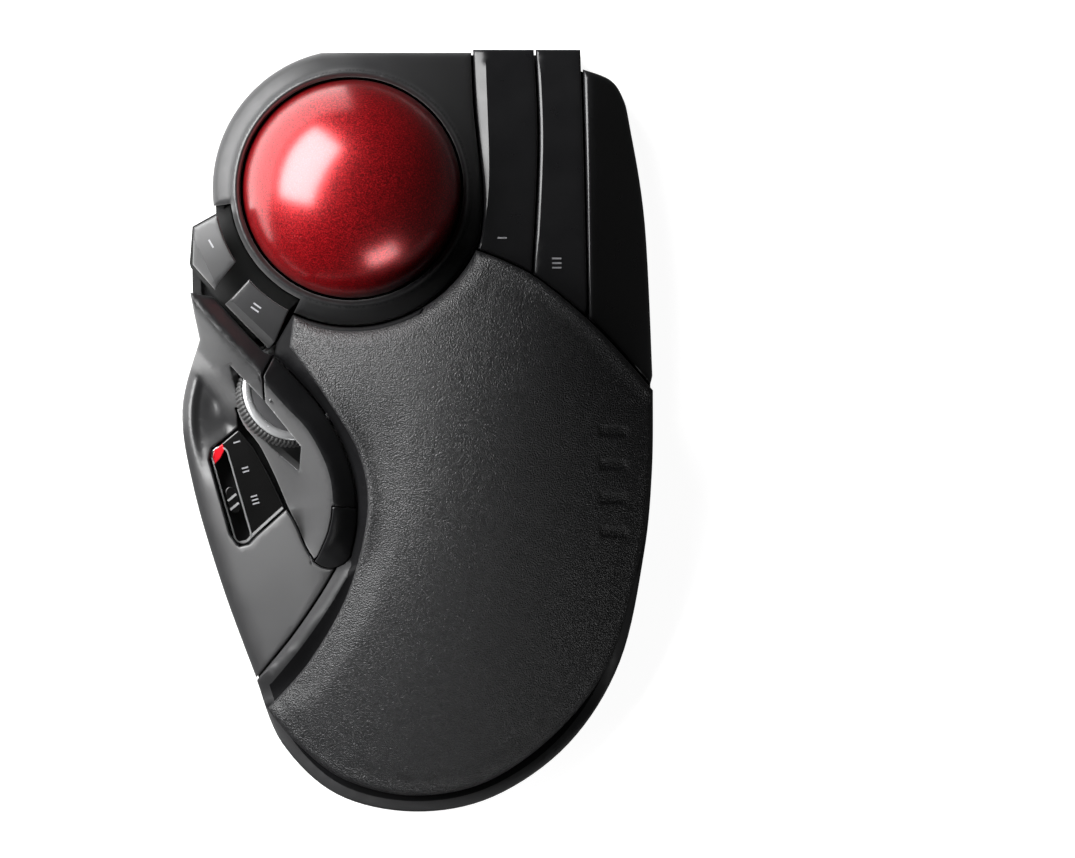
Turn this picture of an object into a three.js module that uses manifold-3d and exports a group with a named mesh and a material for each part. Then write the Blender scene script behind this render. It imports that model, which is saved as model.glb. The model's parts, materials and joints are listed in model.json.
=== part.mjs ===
// A large trackball mouse for the right hand, moved by the index and middle fingers, with a thumb wheel.
// Millimetres. X points right, Y towards the fingers, Z up.
// The origin is on the desk, under the middle of the outline.
import * as THREE from "three";
import { mergeVertices } from "three/addons/utils/BufferGeometryUtils.js";
import Module from "manifold-3d";

const wasm = await Module();
wasm.setup();

// ---- driving dimensions ----
const GAP = 0.35; // free space between neighbouring pieces
const WALL = 2; // casing thickness
const DESK_FOOT = 1.1; // thickness of a foot pad
const CASE_BOTTOM = 0.9; // underside of the bottom case
const CASE_FLOOR = 3.2; // its inner face
const CASE_RIM = 5; // top of its outer wall
const COVER_BOTTOM = CASE_RIM + GAP; // where the upper covers start

const BALL_R = 26;
const BALL = new THREE.Vector3(-15.8, 57.7, 33);
const CUP_INNER_R = BALL_R + 0.6;
const CUP_SKIN = 1.4;
const BEAD_R = 1.25; // the ball runs on three of these
const COLLAR_R = 27.4; // tube under the opening
const COLLAR_BOTTOM = 25;
const LIP_R = 28.3; // outer edge of the raised lip round the ball
const LIP_Z = 37;
const RING_R = 33.4; // outer wall of the ball housing
const POCKET_R = 29.2; // the housing is this narrow beside the two function keys
const PALM_ARC_R = 32.8; // the palm rest's edge round the ball
const CONE_SLOPE = 0.85; // fall of the deck away from the ball
const THUMB_SLOPE = 2.14; // fall of the thumb face, outwards from its top edge
const BAND_SLOPE = 0.7; // fall of the band behind that edge
const FRONT_Y = 90.3;

const KEY_LIP_BOTTOM = 12; // the keys' front lips hang down to here
const LIP_FROM_Y = 87.5;
const KEY_FLOOR_DROP = 6; // depth of the skirt round a key
const KEY_SKIN = 1.8;
const KEY_BOARD_Z = 12;
const KEY_SWITCH_TOP = KEY_BOARD_Z + 8;
const KEY_SWITCHES = [[21.5, 66], [33, 65]];
const SWITCH_POSTS = [[20, 51], [34, 51], [20, 83], [34, 83]]; // they carry the key board
const POD_KEY_BOTTOM = 26.5; // underside of the two function keys beside the ball
const POD_CREASE_R = 38.2; // their tops turn down at this distance from the ball's axis
const POCKET_FLOOR = 22; // the floor under them
const POD_SWITCH_TOP = POCKET_FLOOR + 3.6;
const POD_SWITCHES = [[-49.4, 43.6], [-38.2, 27.8]];
const PLUNGER_R = 1.3;

const PAD_THICK = 2.6;
const PAD_STEP = 10; // spacing of the points on the palm rest
const PALM_PEAK = 48.9;
const TRIM_SLOPE = 3.4; // rise of the dark trim beside the palm rest
const WINDOW_Z = 9.2; // top of the speed window

const WHEEL_R = 12.9;
const WHEEL_WIDTH = 5.2;
const WHEEL_ROOM = 0.7; // free radius round it, for its press
const HUB_R = 12;
const AXLE_R = 1.4;
const TEETH = 40;
const TOOTH = 0.45;
const WHEEL_LEAN = THREE.MathUtils.degToRad(24);
const WHEEL_CENTRE = new THREE.Vector3(-31, 8.8, 21.2);
const SLOT_DIR = new THREE.Vector3(0.66, -0.75, 0).normalize(); // along the thumb face
const THUMB_OUT = new THREE.Vector3(-0.75, -0.66, 0).normalize(); // away from it

const CELL_R = 7.2; // two AA cells
const CELL_LENGTH = 50.5;
const CELL_X = [-2.3, 12.7];
const CELL_Y = -27.8;
const CELL_Z = CASE_FLOOR + 0.5 + CELL_R;
const DOOR = [-11, 22, -56.5, -0.8]; // left, right, rear and front edges of the battery door
const POWER = { x: 6, y: 12 };

const SCREW_R = 1.3;
const BEZEL_SCREW = [6.4, 81.2];
const RIGHT_SCREW = [46.4, 52];
const PALM_SCREWS = [[37, -48], [-21.5, -62], [36, 12]];
const SCREWS = [BEZEL_SCREW, RIGHT_SCREW, ...PALM_SCREWS];
const FEET = [[-44, 40, 6], [40, 74, 6], [45, -12, 6], [-1, -79, 8], [-40, -18, 6]]; // place and radius

// ---- curves ----
const points = (list) => list.map(([x, y]) => new THREE.Vector2(x, y));
// A smooth curve through the points, ends included.
const curve = (list, perSpan = 2) =>
  new THREE.SplineCurve(points(list)).getPoints((list.length - 1) * perSpan).map((p) => [p.x, p.y]);
const reversed = (list) => [...list].reverse();
// An arc round the ball's centre, in degrees.
function ballArc(radius, from, to, steps = 12) {
  const arc = [];
  for (let i = 0; i <= steps; i++) {
    const a = THREE.MathUtils.degToRad(from + ((to - from) * i) / steps);
    arc.push([BALL.x + radius * Math.cos(a), BALL.y + radius * Math.sin(a)]);
  }
  return arc;
}
const area = (loop) => THREE.ShapeUtils.area(points(loop));
function distanceToPath(x, y, path, closed = false) {
  let best = Infinity;
  for (let i = closed ? 0 : 1; i < path.length; i++) {
    const [ax, ay] = path[(i + path.length - 1) % path.length];
    const [bx, by] = path[i];
    const [dx, dy] = [bx - ax, by - ay];
    const t = THREE.MathUtils.clamp(((x - ax) * dx + (y - ay) * dy) / (dx * dx + dy * dy || 1), 0, 1);
    best = Math.min(best, Math.hypot(x - ax - t * dx, y - ay - t * dy));
  }
  return best;
}
// The loop moved inwards by a distance.
// Points that a tight corner would push across the other side are dropped.
function inset(loop, distance) {
  const turn = area(loop) > 0 ? 1 : -1;
  const moved = loop.map(([x, y], i) => {
    const [px, py] = loop[(i + loop.length - 1) % loop.length];
    const [nx, ny] = loop[(i + 1) % loop.length];
    const before = new THREE.Vector2(x - px, y - py).normalize();
    const after = new THREE.Vector2(nx - x, ny - y).normalize();
    const normal = new THREE.Vector2(-before.y - after.y, before.x + after.x).normalize().multiplyScalar(turn);
    const lean = Math.max(0.35, normal.dot(new THREE.Vector2(-after.y, after.x).multiplyScalar(turn)));
    return [x + (normal.x * distance) / lean, y + (normal.y * distance) / lean];
  });
  return moved.filter(([x, y]) => distanceToPath(x, y, loop, true) > Math.abs(distance) * 0.97);
}
const smooth = (from, to, v) => THREE.MathUtils.smoothstep(v, from, to);

// Outer edges of the plan, clockwise from the front.
const RIGHT_EDGE = curve([[39, 86.4], [45.6, 83.9], [48.8, 79.6], [50.6, 72.5], [54.2, 49], [56.1, 10]]);
const REAR_EDGE = curve([
  [56.1, 9.8], [55.9, -9], [54, -29], [48.2, -55], [36, -74.5], [18, -87.2], [-1, -90.8], [-19.5, -86.6],
  [-32.5, -74.5], [-38.6, -59.5],
]);
const LEFT_EDGE = curve([[-38.6, -59.2], [-46.8, -37], [-53.6, -14], [-56.4, 5], [-52.3, 21.6]]);
const POD_EDGE = [[-52.3, 22], [-53.6, 28], [-54.5, 33], [-54.6, 40], [-53.9, 48.8], [-48.9, 51.6]];
// Inner lines.
const PALM_FRONT = curve([[14.1, 43.2], [21, 40.5], [29.5, 35.8], [43, 24.4], [56.1, 9.8]], 3);
const PAD_REAR = curve([
  [56.1, 9.8], [55.7, -9], [53.2, -29], [46.2, -54], [34, -71], [17, -83.4], [-1, -87], [-17.5, -83.2],
  [-28.5, -75], [-36.2, -66],
]);
const PAD_LEFT = curve([
  [-36.2, -66], [-26, -54.5], [-17, -38.5], [-12.4, -20], [-14.2, -6], [-22, 7.6], [-30.9, 19.9],
]);
const THUMB_SEAM = curve([
  [-16.1, -29.8], [-14.7, -22], [-15.2, -12], [-19.3, -0.5], [-26, 9.2], [-34.5, 18],
]);
const SKIRT_SEAM = curve([[-19.4, -32.3], [-24, -40], [-30.5, -49.3], [-38.5, -59]], 1);
const TAIL_TIP = [-17.6, -31.5];
const CORNER = [-33.9, 21]; // where the palm rest, the second function key and the thumb pod meet

// Between the thumb face and the two function keys.
const RIM_LINE = [[-54.3, 38.8], [-48.5, 32], [-42.2, 24.9], [-36.6, 19]];
// The top edge of the thumb face, with its height.
const CREST = [
  [-60, 40, 31], [-54.6, 32.5, 33.5], [-46, 22.3, 36.5], [-38.6, 14.5, 38.5], [-36.8, 11.8, 38.7],
  [-31.7, 6, 38.2], [-26.6, 0.6, 37.2], [-22.8, -6, 36], [-20.8, -12, 34.8], [-20.4, -18, 33],
  [-21.2, -23.4, 30.5], [-22.9, -27.8, 27.5], [-24.5, -31, 23], [-27, -36, 17],
];

// The function keys' stretch of the ball housing, in degrees.
const POCKET_FROM = 187.5;
const POCKET_TO = 244.6;
const PALM_ARC_TO = 334;
const DECK_CORNER = 102.6;

// Seams between the keys.
const KEY_LEFT = curve([[12.8, 91], [13.4, 76], [15.3, 59], [15.2, 49], [14.1, 43.4]]);
const KEY_MIDDLE = curve([[27.7, 91], [28.6, 68], [27.2, 37.3]]);
const KEY_RIGHT = curve([[38.8, 91], [39.7, 62], [40.5, 26.6]]);

// ---- surfaces: height as a function of the place in plan ----
const coneAt = (radius) => LIP_Z - 0.4 - (radius - LIP_R) * CONE_SLOPE;
const keyTop = (x, y) => 38.5 - 14.5 * Math.max(0, (y - 38) / 53) ** 1.8 - 0.28 * (x - 14);
// The right-hand flank falls from the outer function key to the desk.
const flank = (x, y) => {
  const over = Math.max(0, x - 40.4);
  return keyTop(40.4, Math.max(y, 30)) + 0.9 - (1.55 * over * over) / (over + 2.2);
};
// The palm rest: a long fall to the wrist, a fall to the right, and a dip beside the thumb pod.
function palm(x, y) {
  const back = Math.max(0, (15 - y) / 102);
  const ahead = Math.max(0, (y - 15) / 30);
  const along = PALM_PEAK - 37 * back ** 1.7 - 4.5 * ahead * ahead;
  const across = x > 0 ? 26 * (x / 56.2) ** 2.2 : 12 * (x / 36) ** 2;
  const dip = 3.2 * Math.exp(-((x + 12) ** 2) / 90 - (y + 12) ** 2 / 420);
  return along - across - dip;
}
// The skirt under the thumb rises from its outer edge, with a sunken rest at the front.
// d counts in from the edge.
function skirt(d, y) {
  const rise = 4.5 * (1 - Math.exp(-Math.max(0, d) / 2.5)) + 10.4 * (1 - Math.exp((-d * d) / 400));
  return 7 + rise - 3.2 * smooth(2, 3.4, d) * smooth(-14, 4, y);
}
// The low ground of the palm frame: the rim behind the pad and the floor of the groove beside it.
const ground = (x, y) => 8.5 + 6 * smooth(-66, -40, y);
// The floor under the two function keys.
const pocket = () => POCKET_FLOOR;

// ---- solids ----
function solid(geometry) {
  const bare = new THREE.BufferGeometry().setAttribute("position", geometry.getAttribute("position"));
  if (geometry.index) bare.setIndex(geometry.index);
  const merged = mergeVertices(bare, 1e-4);
  const made = new wasm.Manifold(
    new wasm.Mesh({
      numProp: 3,
      vertProperties: merged.attributes.position.array,
      triVerts: new Uint32Array(merged.index.array),
    }),
  );
  return made;
}
function geometryOf(manifold) {
  const mesh = manifold.getMesh();
  return new THREE.BufferGeometry()
    .setAttribute("position", new THREE.BufferAttribute(mesh.vertProperties, 3))
    .setIndex(new THREE.BufferAttribute(mesh.triVerts, 1));
}
const union = (...all) => all.reduce((a, b) => a.add(b));

function prism(loop, z0, z1) {
  const shape = new THREE.Shape(points(loop));
  return solid(new THREE.ExtrudeGeometry(shape, { depth: z1 - z0, bevelEnabled: false }).translate(0, 0, z0));
}
function box(x0, x1, y0, y1, z0, z1) {
  const block = new THREE.BoxGeometry(x1 - x0, y1 - y0, z1 - z0);
  return solid(block.translate((x0 + x1) / 2, (y0 + y1) / 2, (z0 + z1) / 2));
}
function drum(radius, x, y, z0, z1, sides = 24) {
  const upright = new THREE.CylinderGeometry(radius, radius, z1 - z0, sides).rotateX(Math.PI / 2);
  return solid(upright.translate(x, y, (z0 + z1) / 2));
}
const turned = (profile, sides = 32) => new THREE.LatheGeometry(points(profile), sides).rotateX(Math.PI / 2);

// The solid between two sheets of points laid out in rows: at(i, j) gives [x, y, low z, high z].
function slab(nx, ny, at) {
  const position = [];
  const index = [];
  const vertex = (layer, i, j) => layer * (nx + 1) * (ny + 1) + j * (nx + 1) + i;
  for (const layer of [0, 1])
    for (let j = 0; j <= ny; j++)
      for (let i = 0; i <= nx; i++) {
        const [x, y, low, high] = at(i, j);
        position.push(x, y, layer ? high : low);
      }
  const quad = (...corners) => {
    const [a, b, c, d] = corners.map((corner) => vertex(...corner));
    index.push(a, b, c, a, c, d);
  };
  for (let j = 0; j < ny; j++)
    for (let i = 0; i < nx; i++) {
      quad([1, i, j], [1, i + 1, j], [1, i + 1, j + 1], [1, i, j + 1]);
      quad([0, i, j], [0, i, j + 1], [0, i + 1, j + 1], [0, i + 1, j]);
    }
  for (let i = 0; i < nx; i++) {
    quad([0, i, 0], [0, i + 1, 0], [1, i + 1, 0], [1, i, 0]);
    quad([0, i + 1, ny], [0, i, ny], [1, i, ny], [1, i + 1, ny]);
  }
  for (let j = 0; j < ny; j++) {
    quad([0, 0, j + 1], [0, 0, j], [1, 0, j], [1, 0, j + 1]);
    quad([0, nx, j], [0, nx, j + 1], [1, nx, j + 1], [1, nx, j]);
  }
  return solid(
    new THREE.BufferGeometry()
      .setAttribute("position", new THREE.Float32BufferAttribute(position, 3))
      .setIndex(index),
  );
}
// The solid over a rectangle, between a floor height and a surface.
function terrain([x0, y0, x1, y1], step, top, bottom) {
  const nx = Math.ceil((x1 - x0) / step);
  const ny = Math.ceil((y1 - y0) / step);
  return slab(nx, ny, (i, j) => {
    const x = x0 + ((x1 - x0) * i) / nx;
    const y = y0 + ((y1 - y0) * j) / ny;
    return [x, y, bottom(x, y), top(x, y)];
  });
}
// The solid beside a path, with a row of points across it at each of the path's points.
// Offsets count to the right.
function ribbon(path, offsets, top, bottom) {
  return slab(offsets.length - 1, path.length - 1, (i, j) => {
    const [ax, ay] = path[Math.max(0, j - 1)];
    const [bx, by] = path[Math.min(path.length - 1, j + 1)];
    const across = new THREE.Vector2(by - ay, ax - bx).normalize().multiplyScalar(offsets[i]);
    const [x, y] = [path[j][0] + across.x, path[j][1] + across.y];
    const high = top(x, y, j, offsets[i]);
    return [x, y, bottom(high), high];
  });
}
function bounds(loop, margin = 2) {
  const xs = loop.map((p) => p[0]);
  const ys = loop.map((p) => p[1]);
  const low = [Math.min(...xs) - margin, Math.min(...ys) - margin];
  return [...low, Math.max(...xs) + margin, Math.max(...ys) + margin];
}
// The column under a surface, inside a plan loop.
function column(loop, top, z0, step = 6) {
  return prism(loop, z0, 70).intersect(terrain(bounds(loop), step, top, () => z0 - 5));
}
// A skin of even depth that follows a surface.
const skin = (loop, top, depth, step = 9) =>
  prism(loop, 0, 70).intersect(terrain(bounds(loop), step, top, (x, y) => top(x, y) - depth));
// A cover open underneath: side walls and a top of even depth.
function cover(loop, top, z0, wall = WALL, depth = WALL, step = 6) {
  const inside = column(inset(loop, wall), (x, y) => top(x, y) - depth, z0 - 1, step);
  return column(loop, top, z0, step).subtract(inside);
}

// ---- the thumb face ----
function onCrest(x, y) {
  let best = { distance: Infinity };
  for (let i = 1; i < CREST.length; i++) {
    const [ax, ay, az] = CREST[i - 1];
    const [bx, by, bz] = CREST[i];
    const [dx, dy] = [bx - ax, by - ay];
    const t = THREE.MathUtils.clamp(((x - ax) * dx + (y - ay) * dy) / (dx * dx + dy * dy), 0, 1);
    const distance = Math.hypot(x - ax - t * dx, y - ay - t * dy);
    const inside = dx * (y - ay) - dy * (x - ax) > 0;
    if (distance < best.distance) best = { distance, inside, z: az + t * (bz - az) };
  }
  return best;
}
function thumb(x, y) {
  const near = onCrest(x, y);
  return near.z - near.distance * (near.inside ? BAND_SLOPE : THUMB_SLOPE);
}
const thumbAt = (x, y, row, offset) => CREST[row][2] + (offset < 0 ? BAND_SLOPE : -THUMB_SLOPE) * offset;
const thumbBody = (thickness) => ribbon(CREST, [-8, 0, 5, 11, 17], thumbAt, (high) => high - thickness);

// ---- plan loops, drawn on the middle of each seam ----
const BEZEL = [
  ...ballArc(RING_R, DECK_CORNER, POCKET_FROM, 12),
  ...ballArc(POCKET_R, POCKET_FROM, POCKET_TO, 7),
  ...ballArc(PALM_ARC_R, POCKET_TO, PALM_ARC_TO, 12),
  ...reversed(KEY_LEFT).slice(1),
  [12.8, FRONT_Y],
].filter(([, y]) => y <= FRONT_Y);
const palmFront = (from, to) => PALM_FRONT.filter(([x]) => x > from && x < to);
const RIGHT_KEY = [...KEY_LEFT, ...palmFront(14.5, 27), ...reversed(KEY_MIDDLE)];
const FN3_KEY = [...KEY_MIDDLE, ...palmFront(28, 40), ...reversed(KEY_RIGHT)];
const RIGHT_COVER = [
  ...reversed(KEY_RIGHT).filter(([, y]) => y < 85), ...RIGHT_EDGE, ...reversed(palmFront(41, 56)),
];
const FRAME = [
  ...ballArc(PALM_ARC_R, POCKET_TO, PALM_ARC_TO, 12), ...PALM_FRONT, ...REAR_EDGE.slice(1),
  ...reversed(SKIRT_SEAM), TAIL_TIP, ...THUMB_SEAM, CORNER,
];
const PAD = [
  ...ballArc(PALM_ARC_R, POCKET_TO, PALM_ARC_TO, 12), ...PALM_FRONT, ...PAD_REAR.slice(1), ...PAD_LEFT.slice(1),
];
const CREST_REAR = CREST.filter(([x, y]) => y < -18.5 && y > -31.5).map(([x, y]) => [x, y]);
const BUTTON_REAR = [...CREST_REAR, [-26.9, -27.2], [-28.9, -22.5], [-31.2, -18]];
const BUTTON_FOOT = [
  [-34.4, -10.5], [-38, -3.4], [-41.6, 1.2], [-43.4, 5.4], [-36.6, 6.5], [-36.9, 12], [-37, 13.2],
];
const WING_EDGE = curve([[-43.4, 5.4], [-43.9, 8.9], [-48.2, 12.6], [-51.6, 18], [-52.5, 22]]);
const LEFT_COVER = [
  ...LEFT_EDGE, ...POD_EDGE.slice(0, 3), ...RIM_LINE, ...reversed(THUMB_SEAM), TAIL_TIP, ...SKIRT_SEAM,
];
const WING = [...WING_EDGE, ...POD_EDGE.slice(0, 3), ...RIM_LINE, ...reversed(THUMB_SEAM)];
const POD_TRAY = [
  ...ballArc(POCKET_R, POCKET_FROM, POCKET_TO, 7), CORNER, ...reversed(RIM_LINE), ...POD_EDGE.slice(3),
];
const TAIL_FRONT = [[-14.8, -18.4], [-20.4, -18]];
const TAIL_END = [TAIL_TIP, [-19.4, -32.3], [-22.4, -32.3]];
const LEFT_BUTTON = [
  ...reversed(THUMB_SEAM).filter(([, y]) => y > -18.4), ...TAIL_FRONT, ...BUTTON_REAR, ...BUTTON_FOOT,
];
const TAIL = [
  ...reversed(TAIL_FRONT), ...reversed(THUMB_SEAM.filter(([, y]) => y < -18.5)), ...TAIL_END,
  ...reversed(CREST_REAR),
];
const BUTTON_WELL = [...reversed(THUMB_SEAM), ...TAIL_END, ...BUTTON_REAR.slice(-4), ...BUTTON_FOOT];
const SLOT = [
  [-45, 15.9], [-40.8, 11.2], [-36.6, 6.5], [-33.2, 2.3], [-28.2, -4], [-28.3, -9.6], [-32.5, -6], [-38.6, 0.4],
  [-42, 7],
];
const POD_KEY_R = 32.4; // the function keys' edge round the ball
const FN1 = [
  [-53.9, 39.6], [-53.6, 48.6], [-47.8, 51.7], ...ballArc(POD_KEY_R, 192, 212.5, 3), [-47.3, 35.3],
  [-48.3, 33.2],
];
const FN2 = [[-46.3, 30.2], [-44.8, 31.5], ...ballArc(POD_KEY_R, 221, 243, 3), [-33.8, 21.2], [-35.6, 19.3]];
const WINDOW = [
  [-42.7, 0.8], [-46.4, -2.3], [-49, -4.2], [-49.6, -6.8], [-44.6, -24.6], [-42.6, -27.3], [-40.4, -26.8],
  [-38.6, -24.9], [-31.4, -18.4], [-35, -10.8], [-38.8, -3.8],
];
const CHANNEL_FROM = new THREE.Vector2(-47.2, -5.8); // the speed selector's channel in the window
const CHANNEL_TO = new THREE.Vector2(-41.8, -24.6);

// ---- covers and keys ----
const seamed = (loop) => inset(loop, GAP / 2);
// Room for the thumb wheel and its carrier, in the wheel's own axes: along the face, inwards, up the axle.
const wheelAxle = THUMB_OUT.clone().multiplyScalar(-Math.sin(WHEEL_LEAN));
wheelAxle.z = Math.cos(WHEEL_LEAN);
const WHEEL_FRAME = new THREE.Matrix4()
  .makeBasis(SLOT_DIR, wheelAxle.clone().cross(SLOT_DIR), wheelAxle)
  .setPosition(WHEEL_CENTRE);
const atWheel = (geometry) => solid(geometry.applyMatrix4(WHEEL_FRAME));
function wheelBox(u0, u1, v0, v1, a0, a1) {
  const block = new THREE.BoxGeometry(u1 - u0, v1 - v0, a1 - a0);
  return atWheel(block.translate((u0 + u1) / 2, (v0 + v1) / 2, (a0 + a1) / 2));
}
const wheelBay = () => wheelBox(-15, 15, 1, 23, -10, 10);
const wheelDrum = (radius, width, sides) =>
  atWheel(new THREE.CylinderGeometry(radius, radius, width, sides).rotateX(Math.PI / 2));
const wheelRoom = () => wheelDrum(WHEEL_R + WHEEL_ROOM, WHEEL_WIDTH + 2.6, 40);
const wheelSlot = () => union(prism(SLOT, 12, 70), wheelRoom());

// A key cap: a top skin with a short skirt round it, and a longer lip at the front.
function keyCap(loop, [x, y]) {
  const body = column(seamed(loop), keyTop, KEY_LIP_BOTTOM, 8);
  const lipOr = (below) => (px, py) => (py > LIP_FROM_Y ? 0 : below(px, py));
  const under = column(inset(loop, -3), lipOr((px, py) => keyTop(px, py) - KEY_FLOOR_DROP), -1, 3);
  const hollow = column(inset(loop, KEY_SKIN), (px, py) => keyTop(px, py) - KEY_SKIN, 0, 8);
  return body.subtract(under).subtract(hollow).add(rib(x, y, KEY_SWITCH_TOP, keyTop(x, y)));
}
function ballBezel() {
  const reach = 50;
  const near = CUP_INNER_R - 1;
  const cone = (drop) => {
    const high = coneAt(near) - drop;
    const profile = [[0, 0], [reach, 0], [reach, coneAt(reach) - drop], [near, high], [0, high], [0, 0]];
    return solid(turned(profile, 40).translate(BALL.x, BALL.y, 0));
  };
  const ballHole = drum(CUP_INNER_R, BALL.x, BALL.y, 0, 70, 40);
  const lip = drum(LIP_R, BALL.x, BALL.y, COLLAR_BOTTOM, LIP_Z, 40);
  const collar = drum(COLLAR_R, BALL.x, BALL.y, COLLAR_BOTTOM + 1, 70, 40);
  const hollow = prism(inset(BEZEL, WALL), 0, 70).intersect(cone(WALL)).subtract(collar);
  const screwAt = Math.hypot(BEZEL_SCREW[0] - BALL.x, BEZEL_SCREW[1] - BALL.y);
  const boss = screwBoss(...BEZEL_SCREW, coneAt(screwAt) - 3.6);
  const body = prism(seamed(BEZEL), COVER_BOTTOM, 70).intersect(cone(0));
  return body.subtract(hollow).add(lip).subtract(ballHole).add(boss);
}
function rightCover() {
  const boss = screwBoss(...RIGHT_SCREW, flank(...RIGHT_SCREW) - 4);
  return cover(seamed(RIGHT_COVER), flank, COVER_BOTTOM, WALL, WALL, 4).add(boss);
}
// The frame under the palm rest: its seat, the steep trim beside it and the rim behind it.
function palmFrame() {
  const seatTop = (x, y) => palm(x, y) - PAD_THICK - GAP;
  const roof = (x, y) => seatTop(x, y) - WALL;
  const seat = column(seamed(PAD), seatTop, COVER_BOTTOM, PAD_STEP);
  const seamLine = [...reversed(SKIRT_SEAM), ...THUMB_SEAM];
  const trim = (x, y, row, offset) =>
    Math.min(trimFoot(...seamLine[row]) + offset * TRIM_SLOPE, palm(x, y) - 1);
  const steep = ribbon(seamLine, [-2, 0, 3, 6], trim, () => 0);
  const banks = steep.add(terrain(bounds(FRAME), 12, ground, () => 0));
  const edge = prism(seamed(FRAME), COVER_BOTTOM, 70).intersect(banks);
  const aboveSeat = terrain(bounds(seamed(PAD)), PAD_STEP, () => 80, seatTop);
  const overSeat = prism(inset(PAD, -GAP), 0, 70).intersect(aboveSeat);
  const hollow = column(inset(FRAME, WALL + 0.8), roof, 0, 12);
  const bosses = PALM_SCREWS.map(([x, y]) => screwBoss(x, y, roof(x, y) - 0.4));
  return union(seat, edge.subtract(overSeat)).subtract(hollow).add(union(...bosses)).subtract(wheelBay());
}
const trimFoot = (x, y) => (y > -31 ? thumb(x, y) : 12 + 12 * smooth(-60, -31, y));
function leftCover() {
  const outline = prism(seamed(LEFT_COVER), COVER_BOTTOM, 70);
  const edge = [[-35.5, -66], ...LEFT_EDGE, [-47, 36]];
  const skirtBody = (drop, low) =>
    ribbon(edge, [-1, 0, 2, 3.5, 8, 14, 22, 34], (x, y, row, offset) => skirt(offset, y) - drop, () => low);
  const wing = prism(WING, 0, 70);
  const outer = outline.intersect(union(skirtBody(0, 0), thumbBody(60).intersect(wing)));
  const underWing = thumbBody(60).translate([0, 0, -4.5]).intersect(prism(inset(WING, WALL), -70, 70));
  const hollow = prism(inset(LEFT_COVER, WALL), 0, 70).intersect(union(skirtBody(WALL, -60), underWing));
  const windowSeat = prism(inset(WINDOW, -GAP / 2), WINDOW_Z - 2.6, 70);
  const buttonWell = prism(inset(BUTTON_WELL, -GAP / 2), 0, 70);
  return outer.subtract(union(hollow, buttonWell, windowSeat, wheelSlot(), wheelBay()));
}
const thumbSkin = (loop) => prism(seamed(loop), 9.6, 70).intersect(thumbBody(4.5));
const leftButton = () => thumbSkin(LEFT_BUTTON).subtract(wheelSlot());
const podTray = () => cover(seamed(POD_TRAY), pocket, COVER_BOTTOM, WALL, WALL, 5).subtract(wheelBay());
// The function keys' tops fall away from the ball.
function podKeyTop(x, y) {
  const r = Math.hypot(x - BALL.x, y - BALL.y);
  return 37.2 - 0.42 * (r - POD_KEY_R) - 0.9 * Math.max(0, r - POD_CREASE_R);
}
function podKey(loop, [x, y]) {
  const hollow = column(inset(loop, 1.6), (px, py) => podKeyTop(px, py) - 1.9, 0, 8);
  const cap = column(seamed(loop), podKeyTop, POD_KEY_BOTTOM, 6).subtract(hollow);
  return cap.add(rib(x, y, POD_SWITCH_TOP, podKeyTop(x, y)));
}

// ---- case bottom, screws and feet ----
function screwBoss(x, y, top) {
  return drum(3.1, x, y, CASE_FLOOR + GAP, top, 10).subtract(drum(SCREW_R + GAP, x, y, 0, 10.5, 8));
}
const screw = (x, y) => union(drum(2.7, x, y, 1.2, 2.3, 12), drum(SCREW_R, x, y, 1.2, 9.6, 8));
const OUTLINE = [
  ...ballArc(RING_R, DECK_CORNER, POCKET_FROM - 5, 12).filter(([, y]) => y <= FRONT_Y),
  ...[POD_EDGE, LEFT_EDGE, REAR_EDGE, RIGHT_EDGE].flatMap(reversed), [38.8, FRONT_Y], [12.8, FRONT_Y],
];
function caseBottom() {
  const outer = prism(inset(OUTLINE, 0.8), CASE_BOTTOM, CASE_RIM);
  const shell = outer.subtract(prism(inset(OUTLINE, 2.8), CASE_FLOOR, 70));
  const bumper = box(13.3, 38.4, FRONT_Y - 3.2, FRONT_Y - 0.8, CASE_FLOOR - 1, KEY_LIP_BOTTOM - 1.9);
  let body = shell.add(bumper);
  for (const [x, y] of SWITCH_POSTS) body = body.add(drum(2, x, y, CASE_FLOOR - 1, KEY_BOARD_Z - GAP, 10));
  for (const [x, y] of SCREWS) {
    const hole = union(drum(3.1, x, y, 0, 2.6, 10), drum(SCREW_R + GAP, x, y, 0, 5, 10));
    body = body.subtract(hole);
  }
  for (const [x, y, r] of FEET) body = body.subtract(drum(r + GAP, x, y, 0, DESK_FOOT + 0.3, 20));
  const [x0, x1, y0, y1] = DOOR;
  body = body.subtract(box(x0 - GAP, x1 + GAP, y0 - GAP, y1 + GAP, 0, 4));
  return body.subtract(box(POWER.x - 5.2, POWER.x + 5.2, POWER.y - 1.9, POWER.y + 1.9, 0, 4));
}

// ---- ball ----
const ball = () => solid(new THREE.SphereGeometry(BALL_R, 36, 18).rotateX(Math.PI / 2).translate(...BALL));
const towards = (azimuth, down) => {
  const [a, d] = [azimuth, down].map(THREE.MathUtils.degToRad);
  return new THREE.Vector3(Math.cos(a) * Math.cos(d), Math.sin(a) * Math.cos(d), -Math.sin(d));
};
const BEADS = [90, 210, 330].map((azimuth) => towards(azimuth, 35));
const SENSOR = towards(300, 42);
const sphere = (centre, radius, sides = 12) =>
  solid(new THREE.SphereGeometry(radius, sides, sides / 2).translate(centre.x, centre.y, centre.z));
const fromBall = (direction, distance) => BALL.clone().addScaledVector(direction, distance);
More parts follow.
